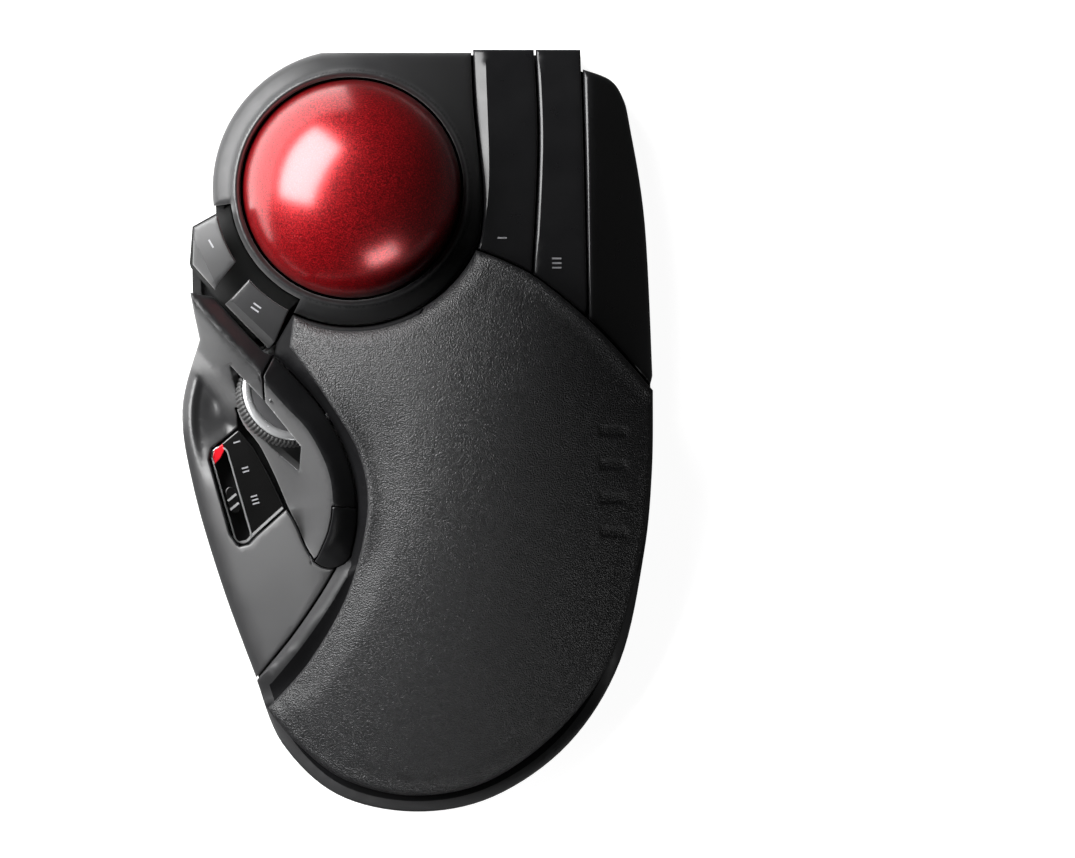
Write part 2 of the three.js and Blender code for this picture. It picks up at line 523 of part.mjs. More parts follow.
// A round bar along a direction from the ball's centre.
function bar(direction, radius, near, far, sides = 16) {
  const turn = new THREE.Quaternion().setFromUnitVectors(new THREE.Vector3(0, 1, 0), direction);
  const middle = fromBall(direction, (near + far) / 2);
  const upright = new THREE.CylinderGeometry(radius, radius, far - near, sides);
  return solid(upright.applyQuaternion(turn).translate(...middle));
}
function ballCup() {
  const arc = (radius, from, to, steps) =>
    Array.from({ length: steps + 1 }, (_, i) => {
      const a = THREE.MathUtils.degToRad(from + ((to - from) * i) / steps);
      return [radius * Math.cos(a), BALL.z + radius * Math.sin(a)];
    });
  const inner = CUP_INNER_R + 0.4;
  const profile = [...arc(inner + CUP_SKIN, -90, -19, 6), ...arc(inner, -19, -90, 6)];
  profile[0][0] = 0;
  profile[profile.length - 1][0] = 0;
  let cup = solid(turned([...profile, profile[0]], 28).translate(BALL.x, BALL.y, 0));
  for (const direction of BEADS) cup = cup.add(bar(direction, 2.6, CUP_INNER_R + 0.8, 30, 12));
  for (const direction of BEADS) cup = cup.subtract(bar(direction, BEAD_R + 0.2, 20, 28.9, 12));
  return cup.subtract(bar(SENSOR, 4, 20, 31, 16));
}
const bead = (direction) => sphere(fromBall(direction, BALL_R + BEAD_R + 0.02), BEAD_R);
const sensorLens = () => bar(SENSOR, 3.4, CUP_INNER_R + 0.6, 31);
const sensorBoard = () => bar(SENSOR, 6.5, 31.4, 32.8, 4);

// ---- thumb wheel ----
function wheelTyre() {
  const edge = [];
  for (let i = 0; i < TEETH * 2; i++) {
    const a = (Math.PI * i) / TEETH;
    const r = i % 2 ? WHEEL_R : WHEEL_R - TOOTH;
    edge.push([r * Math.cos(a), r * Math.sin(a)]);
  }
  const shape = new THREE.Shape(points(edge));
  shape.holes.push(new THREE.Path().absarc(0, 0, HUB_R + 0.15, 0, 2 * Math.PI));
  const width = WHEEL_WIDTH - 0.8;
  const band = new THREE.ExtrudeGeometry(shape, { depth: width, bevelEnabled: false, curveSegments: 24 });
  return atWheel(band.translate(0, 0, -width / 2));
}
function wheelHub() {
  const h = WHEEL_WIDTH / 2;
  const bore = AXLE_R + 0.2;
  const profile = [
    [bore, -h + 0.6], [10.4, -h + 0.6], [10.8, -h], [HUB_R, -h], [HUB_R, h], [10.8, h], [10.4, h - 0.6],
    [bore, h - 0.6], [bore, -h + 0.6],
  ];
  return atWheel(turned(profile, 36));
}
const wheelAxlePin = () => wheelDrum(AXLE_R, 12, 12);
// The yoke holds the axle above and below the wheel; the cradle behind it tilts.
function wheelYoke() {
  const upper = wheelBox(-4, 4, -2.4, 15.4, 3.4, 4.8);
  const lower = wheelBox(-4, 4, -2.4, 15.4, -4.8, -3.4);
  const back = wheelBox(-4, 4, 14, 15.4, -4.6, 4.6);
  return union(upper, lower, back).subtract(wheelDrum(AXLE_R + 0.15, 30, 14));
}
function wheelCradle() {
  const front = wheelBox(-5.8, -4.4, 4, 17.8, -6.4, 6);
  const rear = wheelBox(4.4, 5.8, 4, 17.8, -6.4, 6);
  const back = wheelBox(-5.8, 5.8, 16.2, 17.8, -6.4, 6);
  return union(front, rear, back).subtract(wheelBox(-7, 7, -4, 13.6, -3.9, 3.9));
}
const wheelSwitch = () => wheelBox(-3, 3, 19.8, 21.6, -3, 3);

// ---- electronics and power ----
// A switch with a well for its plunger, which is drawn with the key that presses it.
function switchBody(x, y, z, top, halfX, halfY) {
  const well = drum(PLUNGER_R + GAP, x, y, top - 2.6, top + 1, 12);
  return box(x - halfX, x + halfX, y - halfY, y + halfY, z, top).subtract(well);
}
const plunger = (x, y, top) => drum(PLUNGER_R, x, y, top - 1.2, top + 1.2, 12);
// The rib under a key that meets the plunger.
const rib = (x, y, switchTop, height) => drum(1.6, x, y, switchTop + 1.2 + GAP, height - 0.9, 10);
const keyBoard = () => box(17, 36.8, 48.6, 85.2, KEY_BOARD_Z, KEY_BOARD_Z + 1.6);
const mainBoard = () => box(24, 44, -42, 2, 7.4, 9);
const cell = (x) => {
  const half = CELL_LENGTH / 2;
  const shoulder = half - 1.5;
  const profile = [[0, -half], [CELL_R, -half], [CELL_R, shoulder], [2.6, shoulder], [2.6, half], [0, half]];
  const body = new THREE.LatheGeometry(points(profile), 24).translate(x, CELL_Y, CELL_Z);
  return solid(body);
};
function batteryTray() {
  const [x0, x1] = [CELL_X[0] - CELL_R - 0.4, CELL_X[1] + CELL_R + 0.4];
  const [y0, y1] = [CELL_Y - CELL_LENGTH / 2 - 3.2, CELL_Y + CELL_LENGTH / 2 + 0.4];
  const top = CELL_Z + CELL_R + 0.4;
  const outer = box(x0 - 1.4, x1 + 1.4, y0 - 1.4, y1 + 1.4, CASE_FLOOR + GAP, top + 1.4);
  return outer.subtract(box(x0, x1, y0, y1, 0, top));
}
class Coil extends THREE.Curve {
  getPoint(t, target = new THREE.Vector3()) {
    const a = t * 2 * Math.PI * 2.5;
    return target.set(3.2 * Math.cos(a), 2.4 * (t - 0.5), 3.2 * Math.sin(a));
  }
}
function contactSpring(x) {
  const wire = new THREE.Shape().absarc(0, 0, 0.35, 0, 2 * Math.PI);
  const coil = new THREE.ExtrudeGeometry(wire, { extrudePath: new Coil(), steps: 24, curveSegments: 2 });
  return solid(coil.translate(x, CELL_Y - CELL_LENGTH / 2 - 1.6, CELL_Z));
}
const batteryDoor = () => box(DOOR[0], DOOR[1], DOOR[2], DOOR[3], CASE_BOTTOM, CASE_FLOOR - 0.1);
function powerKnob() {
  const thumbPiece = box(POWER.x - 4.8, POWER.x - 1.4, POWER.y - 1.5, POWER.y + 1.5, 1.1, 4.2);
  const stem = box(POWER.x - 3.7, POWER.x - 2.5, POWER.y - 0.6, POWER.y + 0.6, 4, 5);
  return thumbPiece.add(stem);
}
const powerBody = () => box(POWER.x - 6.5, POWER.x + 6.5, POWER.y - 3.2, POWER.y + 3.2, 5.4, 9);
const foot = ([x, y, r]) => drum(r, x, y, 0, DESK_FOOT, 20);

// ---- speed selector ----
const channelDir = CHANNEL_TO.clone().sub(CHANNEL_FROM).normalize();
// A rounded slot shape along the channel, between two distances from its front end.
function capsule(from, to, radius, z0, z1) {
  const angle = channelDir.angle();
  const round = (at, turn) => {
    const c = CHANNEL_FROM.clone().addScaledVector(channelDir, at);
    return Array.from({ length: 7 }, (_, i) => {
      const a = angle + turn + (Math.PI * i) / 6;
      return [c.x + radius * Math.cos(a), c.y + radius * Math.sin(a)];
    });
  };
  return prism([...round(to, -Math.PI / 2), ...round(from, Math.PI / 2)], z0, z1);
}
function speedWindow() {
  const channel = capsule(0, CHANNEL_FROM.distanceTo(CHANNEL_TO), 1.8, 0, 70);
  return prism(seamed(WINDOW), WINDOW_Z - 2.2, WINDOW_Z).subtract(channel);
}
const speedKnob = () => capsule(9, 13, 1.45, WINDOW_Z - 1.9, WINDOW_Z + 0.6);
const lens = () => capsule(0, 1.4, 1.45, WINDOW_Z - 2, WINDOW_Z - 0.3);

const FINISH = {
  shell: { color: 0x26262a, roughness: 0.42, metalness: 0 },
  grip: { color: 0x1f1f22, roughness: 0.7, metalness: 0 },
  key: { color: 0x29292d, roughness: 0.36, metalness: 0 },
  gloss: { color: 0x08080a, roughness: 0.08, metalness: 0 },
  ball: { color: 0x8c0c18, roughness: 0.08, metalness: 0 },
  lens: { color: 0xc01424, roughness: 0.15, metalness: 0 },
  silver: { color: 0xc4c6c9, roughness: 0.22, metalness: 1 },
  steel: { color: 0x9a9da1, roughness: 0.35, metalness: 1 },
  rubber: { color: 0x1a1a1b, roughness: 0.8, metalness: 0 },
  board: { color: 0x1d4a2c, roughness: 0.5, metalness: 0 },
  part: { color: 0x17171a, roughness: 0.5, metalness: 0 },
  ceramic: { color: 0xe8e6e0, roughness: 0.2, metalness: 0 },
  cell: { color: 0x2c5f8a, roughness: 0.3, metalness: 0 },
};

const group = new THREE.Group();
function piece(name, body, finish) {
  const mesh = new THREE.Mesh(geometryOf(body), new THREE.MeshStandardMaterial(FINISH[finish]));
  mesh.name = name;
  group.add(mesh);
}
piece("bottom_case", caseBottom(), "shell");
piece("palm_frame", palmFrame(), "shell");
piece("palm_pad", skin(seamed(PAD), palm, PAD_THICK, PAD_STEP), "grip");
piece("ball_bezel", ballBezel(), "shell");
piece("right_side_cover", rightCover(), "shell");
piece("left_side_cover", leftCover(), "shell");
piece("thumb_tail", thumbSkin(TAIL), "shell");
piece("pod_tray", podTray(), "part");
piece("left_button", leftButton(), "key");
piece("right_key", keyCap(RIGHT_KEY, KEY_SWITCHES[0]), "key");
piece("fn3_key", keyCap(FN3_KEY, KEY_SWITCHES[1]), "key");
piece("fn1_key", podKey(FN1, POD_SWITCHES[0]), "key");
piece("fn2_key", podKey(FN2, POD_SWITCHES[1]), "key");
piece("ball", ball(), "ball");
piece("ball_cup", ballCup(), "part");
BEADS.forEach((direction, i) => piece(`support_bead_${i + 1}`, bead(direction), "ceramic"));
piece("sensor_lens", sensorLens(), "gloss");
piece("sensor_board", sensorBoard(), "board");
piece("wheel_hub", wheelHub(), "silver");
piece("wheel_tyre", wheelTyre(), "rubber");
piece("wheel_axle", wheelAxlePin(), "steel");
piece("wheel_yoke", wheelYoke(), "part");
piece("wheel_cradle", wheelCradle(), "part");
piece("wheel_switch", wheelSwitch(), "part");
piece("speed_window", speedWindow(), "gloss");
piece("speed_slider", speedKnob(), "silver");
piece("speed_lamp_lens", lens(), "lens");
piece("key_board", keyBoard(), "board");
piece("main_board", mainBoard(), "board");
KEY_SWITCHES.forEach(([x, y], i) => {
  piece(`key_switch_${i + 1}`, switchBody(x, y, KEY_BOARD_Z + 1.9, KEY_SWITCH_TOP, 3, 6.4), "part");
  piece(`key_plunger_${i + 1}`, plunger(x, y, KEY_SWITCH_TOP), "ceramic");
});
POD_SWITCHES.forEach(([x, y], i) => {
  piece(`pod_switch_${i + 1}`, switchBody(x, y, POCKET_FLOOR + GAP, POD_SWITCH_TOP, 2.2, 2.2), "part");
  piece(`pod_plunger_${i + 1}`, plunger(x, y, POD_SWITCH_TOP), "ceramic");
});
piece("battery_tray", batteryTray(), "part");
CELL_X.forEach((x, i) => {
  piece(`battery_${i + 1}`, cell(x), "cell");
  piece(`contact_spring_${i + 1}`, contactSpring(x), "steel");
});
piece("battery_door", batteryDoor(), "shell");
piece("power_switch_body", powerBody(), "part");
piece("power_switch_knob", powerKnob(), "silver");
FEET.forEach((place, i) => piece(`foot_${i + 1}`, foot(place), "rubber"));
SCREWS.forEach(([x, y], i) => piece(`screw_${i + 1}`, screw(x, y), "steel"));

export default group;
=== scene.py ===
"""The look of the trackball mouse: smooth outer pieces over the CAD frame, a white floor and soft light.

Shapes are written in millimetres, in the frame's axes, and scaled to metres when each mesh is made.
"""

import json
import math

import bpy
import numpy as np
from mathutils import Matrix, Vector
from mathutils.geometry import delaunay_2d_cdt

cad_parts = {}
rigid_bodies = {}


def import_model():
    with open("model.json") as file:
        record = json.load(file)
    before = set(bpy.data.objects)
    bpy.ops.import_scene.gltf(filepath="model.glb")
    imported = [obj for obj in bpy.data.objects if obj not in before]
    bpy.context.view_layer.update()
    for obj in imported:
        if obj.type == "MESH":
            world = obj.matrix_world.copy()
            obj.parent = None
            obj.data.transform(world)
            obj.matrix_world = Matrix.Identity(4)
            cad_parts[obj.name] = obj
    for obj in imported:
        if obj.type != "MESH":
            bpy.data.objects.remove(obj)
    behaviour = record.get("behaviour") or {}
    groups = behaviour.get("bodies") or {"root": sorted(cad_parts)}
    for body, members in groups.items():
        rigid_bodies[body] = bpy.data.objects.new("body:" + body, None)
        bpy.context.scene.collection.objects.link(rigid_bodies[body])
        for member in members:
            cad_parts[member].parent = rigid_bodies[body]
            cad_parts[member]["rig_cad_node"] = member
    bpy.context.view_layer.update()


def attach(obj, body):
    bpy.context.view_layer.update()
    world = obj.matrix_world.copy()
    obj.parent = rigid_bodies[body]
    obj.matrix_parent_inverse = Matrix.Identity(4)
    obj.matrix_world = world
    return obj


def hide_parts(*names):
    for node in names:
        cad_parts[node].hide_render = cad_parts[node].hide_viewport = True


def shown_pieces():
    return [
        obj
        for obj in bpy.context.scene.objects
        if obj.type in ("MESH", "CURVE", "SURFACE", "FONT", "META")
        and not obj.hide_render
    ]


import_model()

# ---- driving dimensions, in millimetres ----
MM = 0.001
SEAM = 0.22  # half the gap between two neighbouring covers
COVER_BOTTOM = 5.35

# the ball and the housing round it
BALL = np.array([-15.8, 57.7, 33.0])
BALL_R = 26.0
HOLE_R = 26.6
LIP_R = 28.3
LIP_Z = 37.0
LIP_RISE = 0.9
LIP_CREST, LIP_HALF_WIDTH = 0.7, 1.1  # the lip's crest lies this far outside the hole
CONE_SLOPE = 0.85
RING_R = 33.4
POCKET_R = 29.2
PALM_ARC_R = 32.8
POD_KEY_R = 32.4
POCKET_FROM, POCKET_TO, PALM_ARC_TO, DECK_CORNER = 187.5, 244.6, 334, 102.6  # degrees round the ball
FRONT_Y = 90.3
DECK_RINGS = (0.4, 0.8, 1.2, 1.6, 2.0, 2.5, 3.1)  # rows of points outside the hole

# the keys
KEY_TOP_Z = 38.5
KEY_BOTTOM = 12.0
KEY_LEFT_X, KEY_TILT = 14.0, 0.28
KEY_REAR_Y, KEY_LENGTH, KEY_DROP, KEY_CURVE = 38.0, 53.0, 14.5, 1.8
BEVEL_SLOPE = 0.62
RIGHT_BEVEL, RIGHT_BEVEL_GROWTH = 0.5, 2.7
THIRD_BEVEL = 1.1
FLANK_X, FLANK_REAR_Y, FLANK_LIFT = 40.4, 30.0, 0.4
FLANK_SLOPE, FLANK_ROUND = 1.55, 2.2
POD_KEY_TOP_Z, POD_KEY_BOTTOM = 37.2, 26.5
POD_KEY_SLOPE, POD_KEY_TURN = 0.42, 1.1

# the palm rest and its trim
PALM_PEAK, PALM_PEAK_Y = 48.9, 15.0
WRIST_FALL, WRIST_REACH, WRIST_CURVE = 37.0, 102.0, 1.7
FRONT_FALL, FRONT_REACH = 4.5, 30.0
RIGHT_FALL, RIGHT_REACH, RIGHT_CURVE = 26.0, 56.2, 2.2
LEFT_FALL, LEFT_REACH = 12.0, 36.0
DIP_DEPTH, DIP_X, DIP_Y = 3.2, -12.0, -12.0
DIP_SPREAD_X, DIP_SPREAD_Y = 90.0, 420.0  # in square millimetres
PALM_DEPTH = 6.0
BEAD_RISE, BEAD_WIDTH = 0.8, 2.4
BEAD_GROOVE, BEAD_GROOVE_AT, BEAD_GROOVE_WIDTH = 0.4, 3.4, 0.7
REAR_GROOVE, REAR_GROOVE_AT, REAR_GROOVE_WIDTH = 0.45, 3.2, 0.9
EDGE_FALL, EDGE_REACH = 2.6, 8.0
PALM_ROUND, PALM_ROUND_AT_BALL = 1.2, 3.4
MARK_X, MARK_Y = (43.4, 49.4), (-24.0, -16.0, -8.0, 0.0)
MARK_DEPTH, MARK_HALF_WIDTH = 0.5, 1.2
TRIM_UNDER_PALM = 1.6
TRIM_STEP, TRIM_SLOPE = 0.6, 3.4
SEAM_LOW, SEAM_CLIMB = 12.0, 12.0  # the trim's outer edge beside the skirt
SEAM_SMOOTHING = 9  # how many points are averaged
RIM_HEIGHT, RIM_CLIMB = 8.5, 6.0
# widths of the strips of the trim where light is painted with a lighter colour
PAINTED_LIGHT_TRIM_WIDTH = 3.4
PAINTED_LIGHT_RIM_WIDTH = 2.7

# the thumb face and the skirt
THUMB_SLOPE = 2.14
BAND_SLOPE = 0.7
CREST_ROUND, CREST_LIFT = 0.6, 0.4
CREST_SIDE = 0.8  # rows of points beside the crest line
FACE_WIDTH = 7.0  # the light part of the thumb face, measured in plan from its crest
FOOT_SLOPE = 1.5
FACE_SOFTNESS, FACE_SINK = 3.0, 0.3
TAIL_Y = -31.0
SKIRT_Z = 7.0
RIM_RISE, RIM_ROUND = 4.5, 2.5
SKIRT_RISE, SKIRT_REACH = 10.4, 20.0
HOLLOW_DEPTH, HOLLOW_FROM, HOLLOW_TO = 2.4, 2.0, 4.6
HOLLOW_SLOPE, HOLLOW_WIDTH = 0.6, 6.0
HOLLOW_RINGS = (1.5, 2.1, 2.7, 3.3, 3.9, 4.5, 5.1)  # rows of points inside the skirt's outer edge
BUTTON_BOTTOM, BUTTON_WALL = 8.5, 5.0
DOT_CENTRE = (-35.0, 7.3)
DOT_R, DOT_RISE, DOT_SINK = 0.6, 0.35, 0.1

# where one height fades into another: from none of it to all of it
HOLLOW_BLEND, FOOT_BLEND, FACE_BLEND = (-14, 4), (2, 9), (0, 9)  # in y
BEAD_BLEND, GROOVE_BLEND = (-38, -24), (20, -20)  # in y
EDGE_BLEND, WRIST_BLEND = (-18, -34), (-70, -60)  # in y
RIM_BLEND, TRIM_BLEND, SEAM_BLEND = (-66, -40), (-66, -58), (-60, -31)  # in y
TRIM_SIDE_BLEND = (3, -3)  # in x
BEVEL_BLEND = (44, 80)  # in y
CORNER_BLEND = (3, 12)  # away from the corner

# the wheel
WHEEL_CENTRE = np.array([-31.0, 8.8, 21.2])
WHEEL_LEAN = math.radians(24)
WHEEL_R = 12.9
HUB_R = 12.0
WHEEL_WIDTH = 5.2
AXLE_HOLE_R = 1.7
DISH_R, DISH_DEPTH = 9.9, 0.6
TOOTH_COUNT, TOOTH_STEPS, TOOTH_DEPTH = 76, 6, 0.35
THUMB_OUT = Vector((-0.75, -0.66, 0)).normalized()
SLOT_DIRECTION = Vector((0.66, -0.75, 0)).normalized()
SLOT_WALL_LENGTH = 1.6
AXLE_ROOM_R, AXLE_ROOM_Z = 15.0, 27.5

# the speed selector
WINDOW_Z = 9.2
CHANNEL_FROM, CHANNEL_TO = np.array([-47.2, -5.8]), np.array([-41.8, -24.6])
# the channel's radius, and the width of the painted highlight round it
CHANNEL_R, CHANNEL_HIGHLIGHT_WIDTH = 1.8, 0.4
SLIDER_SPAN, SLIDER_R, SLIDER_RISE = (9.0, 13.0), 1.45, 0.6
LAMP_OUTLINE = [(-49.1, -5.8), (-48.6, -4.3), (-46.5, -2.9), (-46.0, -4.4), (-46.9, -6.4), (-48.4, -8.0)]

# how the meshes are made
ROW_SPACING = 0.87  # of a staggered grid, as a share of its step
ROUNDING_RINGS = (0.04, 0.15, 0.33, 0.6, 1.0)  # shares of the rounding's radius where rows of points lie
ON_LINE = 0.01  # a point this near to a crease belongs to it
LEAST_WALL = 0.2  # the lowest wall under a top


# ---- curves in plan ----
def spline(points, per_span=8):
    """A smooth curve through the points, ends included."""
    p = np.array(points, float)
    out = []
    for i in range(len(p) - 1):
        a, b, c, d = p[max(i - 1, 0)], p[i], p[i + 1], p[min(i + 2, len(p) - 1)]
        for k in range(per_span):
            t = k / per_span
            square = 2 * a - 5 * b + 4 * c - d
            cube = 3 * b - a - 3 * c + d
            out.append(0.5 * (2 * b + (c - a) * t + square * t * t + cube * t**3))
    out.append(p[-1])
    return np.array(out)


def arc(radius, start, end, steps=40):
    """An arc round the ball's centre, in degrees."""
    a = np.radians(np.linspace(start, end, steps + 1))
    return np.stack([BALL[0] + radius * np.cos(a), BALL[1] + radius * np.sin(a)], 1)


def loop_of(*parts):
    """One closed outline from several stretches, without doubled corners."""
    points = np.vstack([np.atleast_2d(np.array(p, float)) for p in parts])
    keep = [i for i in range(len(points)) if np.hypot(*(points[i] - points[i - 1])) > 0.15]
    return points[keep]


def distance(points, path, closed=False):
    """Distance from each point to a path."""
    path = np.array(path, float)
    a = path if closed else path[:-1]
    b = np.roll(path, -1, 0) if closed else path[1:]
    best = np.full(len(points), np.inf)
    for p, q in zip(a, b):
        d = q - p
        t = np.clip(((points - p) @ d) / max(d @ d, 1e-9), 0, 1)
        best = np.minimum(best, np.hypot(*(points - p - t[:, None] * d).T))
    return best


def nearest(points, loops):
    """Distance from each point to the nearest of several closed outlines."""
    best = np.full(len(points), np.inf)
    for loop in loops:
        best = np.minimum(best, distance(points, loop, True))
    return best


def inside(points, loop):
    """Which points lie inside a closed outline."""
    x, y = points[:, 0], points[:, 1]
    found = np.zeros(len(points), bool)
    for (ax, ay), (bx, by) in zip(loop, np.roll(loop, -1, 0)):
        crosses = (ay > y) != (by > y)
        with np.errstate(divide="ignore", invalid="ignore"):
            at = (bx - ax) * (y - ay) / (by - ay) + ax
        found ^= crosses & (x < at)
    return found


def area(loop):
    """The signed area of a closed outline, above 0 where it runs anticlockwise."""
    x, y = loop[:, 0], loop[:, 1]
    return 0.5 * np.sum(x * np.roll(y, -1) - np.roll(x, -1) * y)


def inset(loop, amount):
    """The outline moved inwards, without the points that a tight corner would push through the far side."""
    before = loop - np.roll(loop, 1, 0)
    after = np.roll(loop, -1, 0) - loop
    before /= np.hypot(*before.T)[:, None]
    after /= np.hypot(*after.T)[:, None]
    side = 1 if area(loop) > 0 else -1
    normal = side * np.stack([-(before + after)[:, 1], (before + after)[:, 0]], 1)
    normal /= np.maximum(np.hypot(*normal.T), 1e-6)[:, None]
    lean = np.maximum(0.4, np.sum(normal * side * np.stack([-after[:, 1], after[:, 0]], 1), 1))
    moved = loop + normal * (amount / lean)[:, None]
    good = (distance(moved, loop, True) > abs(amount) * 0.96) & (inside(moved, loop) == (amount > 0))
    return moved[good]


def densify(loop, step):
    """Extra points on the long edges of a closed outline."""
    out = []
    for p, q in zip(loop, np.roll(loop, -1, 0)):
        n = max(1, math.ceil(np.hypot(*(q - p)) / step))
        out.extend(p + (q - p) * k / n for k in range(n))
    return np.array(out)


def smooth(low, high, v):
    """0 below a low value and 1 above a high one, with a soft change between."""
    t = np.clip((v - low) / (high - low), 0, 1)
    return t * t * (3 - 2 * t)


def between(path, low, high):
    """The stretch of a path whose x lies between two values."""
    return path[(path[:, 0] > low) & (path[:, 0] < high)]


# ---- outlines in plan ----
RIGHT_EDGE = spline([(39, 86.4), (45.6, 83.9), (48.8, 79.6), (50.6, 72.5), (54.2, 49), (56.1, 10)])
REAR_EDGE = spline([
    (56.1, 9.8), (55.9, -9), (54, -29), (48.2, -55), (36, -74.5), (18, -87.2), (-1, -90.8), (-19.5, -86.6),
    (-32.5, -74.5), (-38.6, -59.5),
])
LEFT_EDGE = spline([(-38.6, -59.2), (-46.8, -37), (-53.6, -14), (-56.4, 5), (-52.3, 21.6)])
POD_EDGE = [(-52.3, 22), (-53.6, 28), (-54.5, 33)]
PALM_FRONT = spline([(14.1, 43.2), (21, 40.5), (29.5, 35.8), (43, 24.4), (56.1, 9.8)])
PAD_REAR = spline([
    (56.1, 9.8), (55.7, -9), (53.2, -29), (46.2, -54), (34, -71), (17, -83.4), (-1, -87), (-17.5, -83.2),
    (-28.5, -75), (-36.2, -66),
])
PAD_LEFT = spline([
    (-36.2, -66), (-26, -54.5), (-17, -38.5), (-12.4, -20), (-14.2, -6), (-22, 7.6), (-30.9, 19.9),
])
THUMB_SEAM = spline([(-16.1, -29.8), (-14.7, -22), (-15.2, -12), (-19.3, -0.5), (-26, 9.2), (-34.5, 18)])
SKIRT_SEAM = spline([(-19.4, -32.3), (-24, -40), (-30.5, -49.3), (-38.5, -59)])
TAIL_TIP = (-17.6, -31.5)
CORNER = (-33.9, 21)
RIM_LINE = [(-54.3, 38.8), (-48.5, 32), (-42.2, 24.9), (-36.6, 19)]
CREST = spline([  # the third number is its height
    (-60, 40, 31), (-54.6, 32.5, 33.5), (-46, 22.3, 36.5), (-38.6, 14.5, 38.5), (-36.8, 11.8, 38.7),
    (-31.7, 6, 38.2), (-26.6, 0.6, 37.2), (-22.8, -6, 36), (-20.8, -12, 34.8), (-20.4, -18, 33),
    (-21.2, -23.4, 30.5), (-22.9, -27.8, 27.5), (-24.5, -31, 23), (-27, -36, 17),
])
CREST_PLAN = CREST[:, :2]
KEY_LEFT = spline([(12.8, 91), (13.4, 76), (15.3, 59), (15.2, 49), (14.1, 43.4)])
KEY_MIDDLE = spline([(27.7, 91), (28.6, 68), (27.2, 37.3)])
KEY_RIGHT = spline([(38.8, 91), (39.7, 62), (40.5, 26.6)])
SPLIT = [(-36.6, 6.5), (-36.9, 12), (-37, 13.2)]  # the forward end of the left button
PALM_ARC = arc(PALM_ARC_R, POCKET_TO, PALM_ARC_TO)
SEAM_LINE = np.vstack([SKIRT_SEAM[::-1], THUMB_SEAM])

BEZEL = loop_of(
    arc(RING_R, DECK_CORNER, POCKET_FROM), arc(POCKET_R, POCKET_FROM, POCKET_TO), PALM_ARC,
    KEY_LEFT[::-1][1:-1], (12.8, FRONT_Y),
)
RIGHT_KEY = loop_of(KEY_LEFT, between(PALM_FRONT, 14.5, 27), KEY_MIDDLE[::-1])
FN3_KEY = loop_of(KEY_MIDDLE, between(PALM_FRONT, 28, 40), KEY_RIGHT[::-1])
RIGHT_COVER = loop_of(KEY_RIGHT[::-1][:-2], RIGHT_EDGE, between(PALM_FRONT, 41, 55.8)[::-1])
PAD = loop_of(PALM_ARC, PALM_FRONT, PAD_REAR[1:], PAD_LEFT[1:])
FRAME = loop_of(PALM_ARC, PALM_FRONT, REAR_EDGE[1:], SKIRT_SEAM[::-1], TAIL_TIP, THUMB_SEAM, CORNER)
FOOT = spline([
    (-43.4, 5.4), (-41.6, 1.2), (-38, -3.4), (-34.4, -10.5), (-31.2, -18), (-28.9, -22.5), (-26.9, -27.2),
    (-24.9, -30.5),
])
FOOT_BEFORE_WINDOW = FOOT[FOOT[:, 1] > 4]
FOOT_BEHIND_WINDOW = FOOT[FOOT[:, 1] < -20.2]
TAIL_FRONT = [(-20.4, -18), (-14.8, -18.4)]
CREST_AT_TAIL = CREST_PLAN[(CREST_PLAN[:, 1] < -18.3) & (CREST_PLAN[:, 1] > -30.4)]
TAIL_ROUND = spline([(-16.1, -29.8), (-17.3, -31.2), (-20.1, -32.5), (-22.8, -32.2), (-24.7, -31)])[1:]
LEFT_BUTTON = loop_of(
    THUMB_SEAM[THUMB_SEAM[:, 1] > -18.2][::-1], TAIL_FRONT[::-1], CREST_AT_TAIL, FOOT[::-1], SPLIT,
)
TAIL = loop_of(TAIL_FRONT, THUMB_SEAM[THUMB_SEAM[:, 1] < -18.7][::-1], TAIL_ROUND, CREST_AT_TAIL[::-1])
WINDOW_OUTER = [
    (-42.7, 0.8), (-46.4, -2.3), (-49, -4.2), (-49.6, -6.8), (-44.6, -24.6), (-42.6, -27.3), (-40.4, -26.8),
    (-38.6, -24.9), (-31.4, -18.4),
]
WINDOW = loop_of(WINDOW_OUTER, [(-35, -10.8), (-38.8, -3.8)])
LEFT_COVER = loop_of(
    LEFT_EDGE, POD_EDGE, RIM_LINE, THUMB_SEAM[-1], SPLIT[::-1], FOOT_BEFORE_WINDOW, WINDOW_OUTER,
    FOOT_BEHIND_WINDOW, TAIL_ROUND[::-1], SKIRT_SEAM,
)
SLOT = np.array([
    (-45, 15.9), (-40.6, 11.4), (-36.3, 6.8), (-32.9, 2.6), (-27.9, -3.7), (-28.3, -9.6), (-32.5, -6),
    (-39, 0.2), (-42.5, 6.8),
])
FN1_CREASE = [(-54.4, 47.6), (-47.6, 33.8)]
FN2_CREASE = [(-45.6, 32.2), (-33.2, 20.4)]
FN1 = loop_of(
    [(-53.9, 39.6), (-53.6, 48.6), (-47.8, 51.7)], arc(POD_KEY_R, 192, 212.5, 8),
    [(-47.3, 35.3), (-48.3, 33.2)],
)
FN2 = loop_of(
    [(-46.3, 30.2), (-44.8, 31.5)], arc(POD_KEY_R, 221, 243, 8), [(-33.8, 21.2), (-35.6, 19.3)],
)
CHANNEL = (CHANNEL_TO - CHANNEL_FROM) / np.hypot(*(CHANNEL_TO - CHANNEL_FROM))  # its direction
CHANNEL_LENGTH = np.hypot(*(CHANNEL_TO - CHANNEL_FROM))


# ---- heights over the plan ----
def from_ball(p):
    """Distance in plan from the ball's centre."""
    return np.hypot(p[:, 0] - BALL[0], p[:, 1] - BALL[1])


def deck(p):
    """The deck falls away from the ball, with a small raised lip round the opening."""
    r = from_ball(p)
    lip = LIP_RISE * np.exp(-(((r - HOLE_R - LIP_CREST) / LIP_HALF_WIDTH) ** 4))
    return LIP_Z - LIP_RISE - np.maximum(0, r - LIP_R) * CONE_SLOPE + lip


